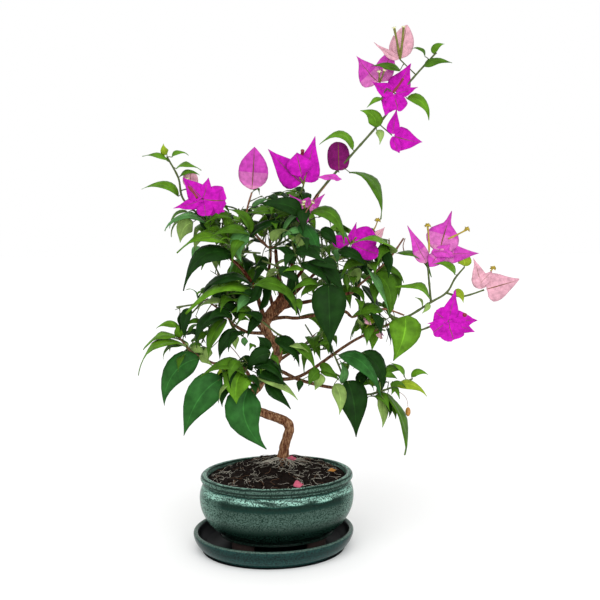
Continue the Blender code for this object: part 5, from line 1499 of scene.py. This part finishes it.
class BONSAI_OT_bark(bpy.types.Operator):
    """Models the bark of the trunk and the boughs with its relief"""

    bl_idname = "bonsai.bark"
    bl_label = "Trunk and boughs"

    def execute(self, context):
        looks = context.scene.bonsai_plant
        limbs, _ = grown()
        look = bark_finish(looks)
        trunk = Piece("trunk_bark")
        line, radii = evenly(*limbs["trunk"], TRUNK_STEP)
        bm = rod(line, radii, TRUNK_SIDES, bark_relief(looks.bark_relief, 3.7))
        cut = bmesh.ops.bisect_plane(
            bm, geom=bm.verts[:] + bm.edges[:] + bm.faces[:], plane_co=(0, 0, TRUNK_CUT * MM),
            plane_no=(0, 0, 1), clear_inner=True,
        )["geom_cut"]
        bmesh.ops.edgeloop_fill(bm, edges=[e for e in cut if isinstance(e, bmesh.types.BMEdge)])
        trunk.join(bm)
        trunk.finish([look], "bark", ["trunk"])
        boughs = Piece("bough_bark")
        for k, name in enumerate(BOUGHS):
            line, radii = evenly(*limbs[name + "_bough"], BOUGH_STEP)
            flares = [1 + BOUGH_FLARE * math.exp(-(at / BOUGH_FLARE_REACH) ** 2) for at in run_of(line)]
            relief = bark_relief(looks.bark_relief * 0.8, 11.3 * (k + 1))
            boughs.join(rod(line, [r * flare for r, flare in zip(radii, flares)], BOUGH_SIDES, relief))
        # The boughs take the same bark, darkened all over as painted shade
        painted_shade_bark = bark_finish(looks, "bough bark", BOUGH_PAINTED_SHADE)
        boughs.finish([painted_shade_bark], "bark", [name + "_bough" for name in BOUGHS])
        return {"FINISHED"}


class BONSAI_OT_twigs(bpy.types.Operator):
    """Models the twigs, flower stalks and leaf stalks that grow on from the boughs"""

    bl_idname = "bonsai.twigs"
    bl_label = "Twigs"

    def execute(self, context):
        looks = context.scene.bonsai_plant
        _, masses = grown()
        wood, green, stalks = Piece("twigs_woody"), Piece("twigs_green"), Piece("leaf_stalks")
        for mass in masses:
            for line, radii, kind in mass.twigs:
                share, step, sides = TWIG_MODELS[kind]
                start = mass.bough_line[-1] if line is mass.lines[0] else line[0]
                spots, wide = evenly([start] + line[1:], [r * share for r in radii], step)
                seed = sum(spots[0]) * 0.7
                waves = (math.sin(i * KNOT_EVERY + seed) for i in range(len(wide)))
                knots = [1 + KNOT_SWELLS * max(0, wave) ** 4 for wave in waves]
                bm = rod(spots, [w * knot for w, knot in zip(wide, knots)], sides)
                (wood if kind == "wood" else green).join(bm)
            for (foot, start, tip, face, rise, _), _ in mass.leaves:
                bend = foot.lerp(start, 0.5) + face * (start - foot).length * 0.12
                ahead = arched(start, tip, rise, 0.08)
                near = (start - foot).length < 1
                line = [foot, ahead] if near else smooth_line([foot, bend, start, ahead], 2)
                radii = [LEAF_STALK[0]] * 2 + [LEAF_STALK[1]] * (len(line) - 2)
                stalks.join(rod(line, radii, 4))
        for radius, *spots in BARE_TWIGS:
            line = smooth_line([Vector(spot) for spot in spots], 3)
            wood.join(rod(line, steady(radius, radius * 0.7, len(line)), 5))
        # Bark of last year's twigs: matt brown with dark specks
        twig_bark = mottled("young brown bark", looks.bark_brown, 0.75, 3, 0.6, 1.2, 0.3, 1.2)
        # Skin of this year's shoots: smooth olive green with a dull light
        stem = mottled("green stem skin", looks.young_stem, 0.55, 5, 0.75, 1.2, 0.1, 1.5)
        for piece, look in ((wood, twig_bark), (green, stem), (stalks, stem)):
            piece.finish_foliage([look])
        return {"FINISHED"}


class BONSAI_OT_leaves(bpy.types.Operator):
    """Models the leaves, one piece for each green that the sprays have"""

    bl_idname = "bonsai.leaves"
    bl_label = "Leaves"

    def execute(self, context):
        looks = context.scene.bonsai_plant
        _, masses = grown()
        tones = {
            "d": ("leaves_deep", looks.leaf_deep), "m": ("leaves_middle", looks.leaf_mid),
            "b": ("leaves_bright", looks.leaf_bright), "l": ("leaves_lime", looks.leaf_lime),
            # s: leaves whose colour paints a bluish sheen
            "s": ("leaves_bluish", looks.leaf_painted_sheen), "u": ("leaves_turned", looks.leaf_under),
            "g": ("leaves_cool", looks.leaf_cool),
        }
        pieces = {tone: Piece(name) for tone, (name, _) in tones.items()}
        for mass in masses:
            for k, (leaf, tone) in enumerate(mass.leaves):
                rng = random.Random("%s leaf %d" % (mass.name, k))
                pieces[tone].join(sheet(
                    leaf, LEAF_COLUMNS, LEAF_OUTLINE, rng, fold=math.radians(rng.uniform(10, 30)),
                    wave=rng.uniform(0.03, 0.12), curl=rng.uniform(0.0, 0.25),
                    twist=math.radians(rng.uniform(-12, 12)),
                ))
        under = leaf_finish("leaf underside", looks.leaf_under)
        for tone, (name, value) in tones.items():
            name = name.replace("_", " ")
            upper = leaf_finish(name, value)
            rib = leaf_finish(name.replace("leaves", "leaf midrib"), shade(value, RIB_SHADE))
            pieces[tone].finish_foliage([upper, under, rib, under], looks.leaf_thickness)
        return {"FINISHED"}


def flower_tube(foot, bend, tip, width=1):
    """A tube flower: a swollen foot, a narrower waist and a wider mouth."""
    return rod(smooth_line([foot, bend, tip], 4), [r * width for r in TUBE_RADII], 8)


def faded_papers(paper, value, pale):
    """Front and back of a fading bract's middle, then of its heart, which goes paler toward the foot."""
    made = []
    for part, much in FADED_SHARES.items():
        mixed = tuple(a + (b - a) * much for a, b in zip(value, pale))
        made += [paper_finish("bract %s %s" % (part, paper), mixed) for _ in (0, 1)]
    return made


class BONSAI_OT_blossoms(bpy.types.Operator):
    """Models the papery bracts and the tube flowers between them"""

    bl_idname = "bonsai.blossoms"
    bl_label = "Blossoms"

    def execute(self, context):
        looks = context.scene.bonsai_plant
        _, masses = grown()
        papers = {name: getattr(looks, "bract_" + name) for name in ("magenta", "lilac", "pale", "dried")}
        pieces = {paper: Piece("bracts_" + paper) for paper in papers}
        tubes = {kind: Piece("tubes_" + kind) for kind in ("red", "olive", "cream", "yellow")}
        tubes["long"] = tubes["olive"]
        stars = {"cream": Piece("flower_stars"), "yellow": Piece("flower_stars_yellow")}
        for mass in masses:
            for k, (bract, paper, outline) in enumerate(mass.bracts):
                rng = random.Random("%s bract %d" % (mass.name, k))
                pieces[paper].join(sheet(
                    bract, BRACT_COLUMNS, BRACT_OUTLINES[outline], rng,
                    fold=math.radians(rng.uniform(4, 16)), wave=0.10, crinkle=1.8, curl=0.1,
                    twist=math.radians(rng.uniform(-10, 10)), fading=BRACT_FADES if paper == "lilac" else 0,
                ))
            for k, (paper, kind, middle, tips) in enumerate(mass.blossoms):
                if not kind:
                    continue
                rng = random.Random("%s tube %d" % (mass.name, k))
                for tip in tips[: 2 if kind == "long" else 3]:
                    lean = Vector((rng.uniform(-0.3, 0.3), 0.5, 0.9))
                    way = (tip - middle).normalized() * 0.55 + lean
                    reach, wide = rng.uniform(*TUBE_REACH), 1
                    if kind == "long":
                        way = Vector((-0.28 if tip is tips[0] else 0.05, 1, 0.5))
                        reach, wide = LONG_TUBE, LONG_TUBE_WIDTH
                    end = middle + way.normalized() * reach
                    bend = middle.lerp(end, 0.5) + Vector((0, rng.uniform(-1, 1), 1))
                    tubes[kind].join(flower_tube(middle, bend, end, wide))
                    if kind in ("cream", "long"):
                        stars["cream"].join(star(end, (end - bend).normalized(), CREAM_STAR))
        for kind, foot, tip, wide in LONE_TUBES:
            foot, tip = Vector(foot), Vector(tip)
            tubes[kind].join(flower_tube(foot, foot.lerp(tip, 0.5) + Vector((0.6, 0, -0.8)), tip, wide))
            if kind == "yellow":
                for lean in (-0.9, 0.2, 1.1):
                    way = ((tip - foot).normalized() + Vector((lean, 0, 0.3))).normalized()
                    stars[kind].join(star(tip + way * 1.8, way, YELLOW_STAR))
        for k, (paper, foot, tip, width) in enumerate(LONE_BRACTS):
            rng = random.Random("lone bract %d" % k)
            face = Vector((0, 0.5, 0.85)).normalized()
            pieces[paper].join(lone_bract(Vector(foot), Vector(tip), face, width, rng))
        vein = paper_finish("bract vein", looks.bract_vein)
        for paper, value in papers.items():
            layers = [
                paper_finish("papery bract " + paper, value),
                paper_finish("bract back " + paper, shade(value, BRACT_BACK_SHADE)), vein, vein,
            ]
            if paper == "lilac":
                layers += faded_papers(paper, value, looks.bract_pale)
            pieces[paper].finish_foliage(layers, looks.bract_thickness)
        tube_colours = {
            "red": looks.tube_red, "olive": looks.tube_olive, "cream": looks.tube_olive,
            "yellow": shade(looks.flower_yellow, 0.7),
        }
        for kind, value in tube_colours.items():
            # Skin of a tube flower: soft and matt, a little blotched
            tubes[kind].finish_foliage([mottled("flower tube " + kind, value, 0.6, 3)])
        for kind, flowers in stars.items():
            # Petals of the open star: soft and matt, paler than the tube
            value = getattr(looks, "flower_" + kind)
            flowers.finish_foliage([mottled("flower star " + kind, value, 0.6, 2)])
        return {"FINISHED"}


def star(spot, way, radius):
    """A small open flower of five lobes at the end of a tube."""
    bm = bmesh.new()
    made = bmesh.ops.create_cone(
        bm, cap_ends=True, segments=10, radius1=radius, radius2=radius * 0.35, depth=radius * 0.5
    )
    rim = sorted((v for v in made["verts"] if v.co.z < 0), key=lambda v: math.atan2(v.co.y, v.co.x))
    for v in rim[::2]:
        v.co.x *= 0.5
        v.co.y *= 0.5
    side = square_to(way, SIDE_WISH)
    turn = Matrix((side, way.cross(side) * -1, way * -1)).transposed()
    for v in bm.verts:
        v.co = place(spot + turn @ v.co)
    bmesh.ops.recalc_face_normals(bm, faces=bm.faces)
    return bm


def turned(profile, squeeze, steps):
    """A profile spun round Z and squeezed front to back into an oval, in metres."""
    bm = bmesh.new()
    spots = [bm.verts.new((x * MM, 0, z * MM)) for x, z in profile]
    edges = [bm.edges.new(pair) for pair in zip(spots, spots[1:])]
    bmesh.ops.spin(
        bm, geom=spots + edges, angle=math.tau, steps=steps, axis=(0, 0, 1), cent=(0, 0, 0), use_merge=True
    )
    bmesh.ops.transform(bm, matrix=Matrix.Diagonal((1, squeeze, 1, 1)), verts=bm.verts)
    bmesh.ops.remove_doubles(bm, verts=bm.verts, dist=0.00002)
    bmesh.ops.recalc_face_normals(bm, faces=bm.faces)
    if bm.calc_volume(signed=True) < 0:
        bmesh.ops.reverse_faces(bm, faces=bm.faces)
    return bm


def soil_height(x, y):
    """Height of the soil: heaped to a flat top round the trunk's foot, lower along the rim."""
    foot = place(TRUNK[0][:3]) / MM
    edge = math.hypot(x, y / POT_SQUEEZE) / SOIL_ACROSS
    near = math.exp(-((x - foot.x) ** 2 + (y - foot.y) ** 2) / (2 * SOIL_HEAP_ACROSS**2))
    return min(SOIL_TOP, SOIL_EDGE + 3 * (1 - edge**2) + 9 * near)


class BONSAI_OT_pot(bpy.types.Operator):
    """Models the oval pot with its rim, beads, end bosses and bare clay feet"""

    bl_idname = "bonsai.pot"
    bl_label = "Pot"

    def execute(self, context):
        looks = context.scene.bonsai_pot
        look = glaze_finish(looks)
        pot = Piece("pot_glazed")
        profile = smooth_line(POT_INSIDE + POT_RIM + POT_BEAD + POT_BELLY + POT_UNDERSIDE, 3)
        pot.join(turned(profile, POT_SQUEEZE, looks.turn_steps))
        pot.finish([look], "pot_glaze", ["pot"])
        bosses, feet = Piece("pot_bosses"), Piece("pot_feet")
        for side in (1, -1):
            bosses.join(boss(side))
            for front in (1, -1):
                feet.join(oval_foot(side, front))
        bosses.finish([look], "pot_glaze", ["pot"])
        # Bare stoneware: unglazed fired clay, matt and a little gritty
        clay = mottled("fired clay", looks.clay, 0.85, 3, 0.7, 1.3, 0.25, 0.9)
        feet.finish([clay], "pot_glaze", ["pot"], smooth=False)
        return {"FINISHED"}


def boss(side):
    """A round flower with eight low petals on the belly, at one end of the pot."""
    bm = turned(BOSS_PROFILE, 1, 24)
    for v in bm.verts:
        if math.hypot(v.co.x, v.co.y) > BOSS_PETALS_FROM * MM and v.co.z > 0:
            v.co.z += BOSS_PETAL_LIFT * MM * math.cos(BOSS_PETALS * math.atan2(v.co.y, v.co.x))
    c, s = side * math.cos(BOSS_TURN), side * math.sin(BOSS_TURN)
    spot = Vector((c * BOSS_AT_RADIUS, s * BOSS_AT_RADIUS * POT_SQUEEZE, BOSS_HEIGHT)) * MM
    out = Vector((c, s / POT_SQUEEZE, 0)).normalized()
    turn = Matrix((out.cross(Vector((0, 0, 1))), Vector((0, 0, 1)), out)).transposed()
    bm.transform(Matrix.Translation(spot) @ turn.to_4x4())
    bmesh.ops.recalc_face_normals(bm, faces=bm.faces)
    return bm


def oval_foot(side, front):
    """One of the four oval feet, with its edges rounded."""
    bm = bmesh.new()
    bmesh.ops.create_cone(
        bm, cap_ends=True, segments=40, radius1=0.92, radius2=1, depth=(FOOT_HEIGHT + 2) * MM
    )
    spot = Vector((side * FOOT_AT[0], front * FOOT_AT[1], SAUCER_FLOOR + GAP + FOOT_HEIGHT / 2 + 1))
    size = Matrix.Diagonal((FOOT_HALF[0] * MM, FOOT_HALF[1] * MM, 1, 1))
    turn = Matrix.Rotation(-side * front * FOOT_TURN, 4, "Z")
    bm.transform(Matrix.Translation(spot * MM) @ turn @ size)
    rim = [e for e in bm.edges if not e.is_manifold or e.calc_face_angle(0) > 1]
    bmesh.ops.bevel(bm, geom=rim, offset=0.8 * MM, segments=2, affect="EDGES", profile=0.5, material=-1)
    return bm


class BONSAI_OT_saucer(bpy.types.Operator):
    """Models the oval glazed saucer"""

    bl_idname = "bonsai.saucer"
    bl_label = "Saucer"

    def execute(self, context):
        looks = context.scene.bonsai_pot
        saucer = Piece("saucer_glazed")
        profile = [(x, max(0, z)) for x, z in smooth_line(SAUCER_INSIDE + SAUCER_RIM + SAUCER_OUTSIDE, 3)]
        bm = turned(profile, SAUCER_SQUEEZE, looks.turn_steps)
        for f in bm.faces:
            middle = f.calc_center_median()
            reach = math.hypot(middle.x, middle.y / SAUCER_SQUEEZE)
            if f.normal.z > 0 and reach < SAUCER_INSIDE[-1][0] * MM:
                f.material_index = 1
        bm.transform(Matrix.Translation((SAUCER_ASIDE * MM, 0, 0)))
        saucer.join(bm)
        # Inside of the saucer: near black, dark glaze with painted shade from the pot above it, with faint
        # cloudy patches of painted reflection
        inside = mottled("black glaze", looks.saucer_black_and_painted_shade, 0.35, 20, 0.6, 1.6, Specular_IOR_Level=0.04)
        saucer.finish([saucer_finish(looks), inside], "saucer_glaze", ["saucer"])
        return {"FINISHED"}


class BONSAI_OT_soil(bpy.types.Operator):
    """Models the soil with its crumbs, fine roots and brown fibres"""

    bl_idname = "bonsai.soil"
    bl_label = "Soil"

    def execute(self, context):
        looks = context.scene.bonsai_pot
        soil = Piece("soil_crumbly")
        rings = [(SOIL_ACROSS * i / SOIL_RINGS, SOIL_EDGE) for i in range(SOIL_RINGS + 1)]
        bm = turned(rings + [(SOIL_ACROSS - 1, SOIL_EDGE - 8), (0, SOIL_EDGE - 8)], POT_SQUEEZE, 120)
        for v in bm.verts:
            if v.co.z > (SOIL_EDGE - 1) * MM:
                x, y = v.co.x / MM, v.co.y / MM
                lumps = 1.1 * noise.noise(Vector((x, y, 0)) * 0.22)
                lumps += 0.8 * noise.noise(Vector((x, y, 9)) * 0.6)
                v.co.z = (soil_height(x, y) + lumps - 0.6) * MM
        soil.join(bm)
        rng = random.Random("crumbs")
        for _ in range(CRUMBS):
            soil.join(crumb(rng))
        # Damp peat mix: near black, matt, crumbly down to a millimetre
        peat = mottled(
            "peat soil", looks.soil_brown, 0.95, 2.4, 0.35, 1.9, 0.8, 1.2, Specular_IOR_Level=0.08
        )
        soil.finish([peat], "soil_mix", ["soil"], smooth=False)
        roots, twigs = Piece("fine_roots"), Piece("soil_fibres")
        for k in range(FIBRES):
            bm = fibre(k)
            if bm is not None:
                (roots if k % 5 else twigs).join(bm)
        # Dry surface roots: pale grey fibre
        roots.finish([mottled("dry root", looks.root_pale, 0.8, 4, 0.55, 1.1)], "soil_mix", ["soil"])
        # Fibres of the peat: matt brown
        twigs.finish([mottled("brown fibre", looks.fibre_brown, 0.85, 4)], "soil_mix", ["soil"])
        return {"FINISHED"}


def crumb(rng):
    """A crumb of soil, stretched and turned, on the soil's top."""
    angle, far = rng.uniform(0, math.tau), SOIL_ACROSS * 0.97 * math.sqrt(rng.random())
    x, y = far * math.cos(angle), far * math.sin(angle) * POT_SQUEEZE
    bm = bmesh.new()
    bmesh.ops.create_icosphere(bm, subdivisions=1, radius=rng.uniform(*CRUMB_SIZE) * MM)
    stretch = Matrix.Diagonal((rng.uniform(0.6, 1.6), rng.uniform(0.6, 1.3), rng.uniform(0.4, 0.8), 1))
    turn = Matrix.Rotation(rng.uniform(0, math.tau), 4, "Z")
    spot = (x * MM, y * MM, (soil_height(x, y) - 0.3) * MM)
    bm.transform(Matrix.Translation(spot) @ turn @ stretch)
    return bm


def fibre(k):
    """A root that runs out from the trunk's foot, or a loose fibre that lies in the soil, if it fits."""
    rng = random.Random("root %d" % k)
    rooted = k < TRUNK_ROOTS
    angle = rng.uniform(-2.9, -0.4) if rooted else rng.uniform(0, math.tau)
    far = 7 if rooted else (SOIL_ACROSS - 2) * math.sqrt(rng.random())
    if rooted:
        foot = place(TRUNK[0][:3]) / MM
        x, y = foot.x + far * math.cos(angle), foot.y + far * math.sin(angle)
    else:
        x, y = far * math.cos(angle), far * math.sin(angle) * POT_SQUEEZE
        angle = rng.uniform(0, math.tau)
    line, reach = [], rng.uniform(16, 36) if rooted else rng.uniform(6, 15)
    for i in range(FIBRE_STEPS + 1):
        if math.hypot(x, y / POT_SQUEEZE) > SOIL_ACROSS - 2:
            break
        lift = 0.5 + (1.6 * (1 - i / FIBRE_STEPS) if rooted else 0.7 * math.sin(i * 0.9 + k))
        line.append(Vector((x, y, soil_height(x, y) + max(0.1, lift))) * MM)
        angle += rng.uniform(-0.32, 0.32) if rooted else rng.uniform(-0.05, 0.25)
        x += math.cos(angle) * reach / FIBRE_STEPS
        y += math.sin(angle) * reach / FIBRE_STEPS
    if len(line) < 3:
        return None
    thick = rng.uniform(0.24, 0.4) if rooted else rng.uniform(0.12, 0.2)
    line = smooth_line(line, 3)
    return tube(line, [r * MM for r in steady(thick, thick * 0.5, len(line))], 5)


class BONSAI_OT_fallen(bpy.types.Operator):
    """Models the dried bracts and the tan leaf that lie on the soil, and the dry pod on its thread"""

    bl_idname = "bonsai.fallen"
    bl_label = "Fallen pieces"

    def execute(self, context):
        looks = context.scene.bonsai_plant
        pieces = {name: Piece(name) for name in ("fallen_bracts", "fallen_leaf")}
        for k, (name, (across, toward), (reach, deep), width) in enumerate(FALLEN):
            at = place((across, 0, toward)) / MM
            foot = Vector((across, soil_height(at.x, at.y) + 1.6, toward))
            tip = foot + Vector((reach, 1.5, deep))
            face = Vector((0.1, 0.8, 0.6)).normalized()
            rng = random.Random("fallen %d" % k)
            pieces[name].join(lone_bract(foot, tip, face, width, rng))
        pod, (middle, (across, high)) = Piece("dry_pod"), POD
        bm = bmesh.new()
        bmesh.ops.create_uvsphere(bm, u_segments=10, v_segments=8, radius=MM)
        bm.transform(Matrix.Translation(place(middle)) @ Matrix.Diagonal((across, across, high, 1)))
        pod.join(bm)
        # Skin of the dry pod: amber, thin and dull
        skin = mottled("dry pod skin", looks.pod_amber, 0.6, 2, 0.6, 1.2)
        pod.finish([skin], "leafage", ["right_bottom_mass"])
        pink = paper_finish("fallen pink bract", looks.fallen_pink)
        vein = paper_finish("fallen bract vein", looks.fallen_vein)
        brown = paper_finish("fallen tan leaf", looks.fallen_tan)
        for name, layers in (("fallen_bracts", [pink, pink, vein, vein]), ("fallen_leaf", [brown] * 4)):
            pieces[name].finish(layers, "leafage", ["soil"], thickness=looks.fallen_thickness)
        return {"FINISHED"}


class BONSAI_OT_stage(bpy.types.Operator):
    """Sets a white floor, soft studio light and the camera of the front view"""

    bl_idname = "bonsai.stage"
    bl_label = "Stage"

    def execute(self, context):
        scene = context.scene
        looks = scene.bonsai_stage
        bm = bmesh.new()
        bmesh.ops.create_grid(bm, x_segments=8, y_segments=8, size=FLOOR_HALF)
        floor = add_object("studio_floor", mesh_of("studio_floor", bm))
        # Matt white floor: no gloss, so that it gives only a faint soft shadow
        white, _ = plain_finish(
            "matt white floor", 1.0, Base_Color=tuple(looks.floor_white), Specular_IOR_Level=0.0
        )
        floor.data.materials.append(white)
        scene.world = bpy.data.worlds.new("white_surround")
        scene.world.use_nodes = True
        surround = scene.world.node_tree.nodes["Background"].inputs
        surround["Color"].default_value = (1, 1, 1, 1)
        surround["Strength"].default_value = looks.sky_strength
        sun = bpy.data.lights.new("soft_key", "SUN")
        sun.energy = looks.key_strength
        sun.angle = math.radians(KEY_SOFTNESS)
        key = add_object("soft_key", sun)
        key.rotation_euler = [math.radians(turn) for turn in KEY_TURN]
        panel = bpy.data.lights.new("soft_panel", "AREA")
        panel.shape = "RECTANGLE"
        panel.size, panel.size_y = PANEL_SIZE
        panel.energy = looks.panel_power
        aim = (place(PANEL_SPOT) - place(PANEL_AIM)).to_track_quat("Z", "Y").to_matrix().to_4x4()
        add_object("soft_panel", panel).matrix_world = Matrix.Translation(place(PANEL_SPOT)) @ aim
        lens = bpy.data.cameras.new("front_camera")
        lens.lens = looks.lens
        lens.sensor_width = 36
        camera = add_object("front_camera", lens)
        right = place((1, 0, 0)).normalized()
        ahead = place((0, -math.sin(LENS_DIP), -math.cos(LENS_DIP))).normalized()
        pose = Matrix((right, right.cross(ahead), -ahead)).transposed().to_4x4()
        camera.matrix_world = Matrix.Translation(place(LENS_SPOT)) @ pose
        scene.camera = camera
        scene.view_settings.view_transform = "Standard"
        return {"FINISHED"}


class BONSAI_PT_panel(bpy.types.Panel):
    """Lists the steps that build the bonsai, with its sizes and colours"""

    bl_idname = "BONSAI_PT_panel"
    bl_label = "Bougainvillea Bonsai"
    bl_space_type = "VIEW_3D"
    bl_region_type = "UI"
    bl_category = "Bonsai"

    def draw(self, context):
        for step in STEPS:
            self.layout.operator(step.bl_idname)
        for name, group in GROUPS.items():
            looks = getattr(context.scene, name)
            for key in group.__annotations__:
                self.layout.prop(looks, key)


GROUPS = {"bonsai_plant": BonsaiPlant, "bonsai_pot": BonsaiPot, "bonsai_stage": BonsaiStage}
STEPS = (
    BONSAI_OT_saucer, BONSAI_OT_pot, BONSAI_OT_soil, BONSAI_OT_bark, BONSAI_OT_twigs, BONSAI_OT_leaves,
    BONSAI_OT_blossoms, BONSAI_OT_fallen, BONSAI_OT_stage,
)


def register():
    for group in GROUPS.values():
        bpy.utils.register_class(group)
    for step in STEPS + (BONSAI_PT_panel,):
        bpy.utils.register_class(step)
    for name, group in GROUPS.items():
        setattr(bpy.types.Scene, name, PointerProperty(type=group))


def unregister():
    for name in GROUPS:
        delattr(bpy.types.Scene, name)
    for step in (BONSAI_PT_panel,) + STEPS[::-1]:
        bpy.utils.unregister_class(step)
    for group in reversed(GROUPS.values()):
        bpy.utils.unregister_class(group)


def main():
    register()
    for step in STEPS:
        group, name = step.bl_idname.split(".")
        getattr(getattr(bpy.ops, group), name)()


if __name__ == "__main__":
    main()
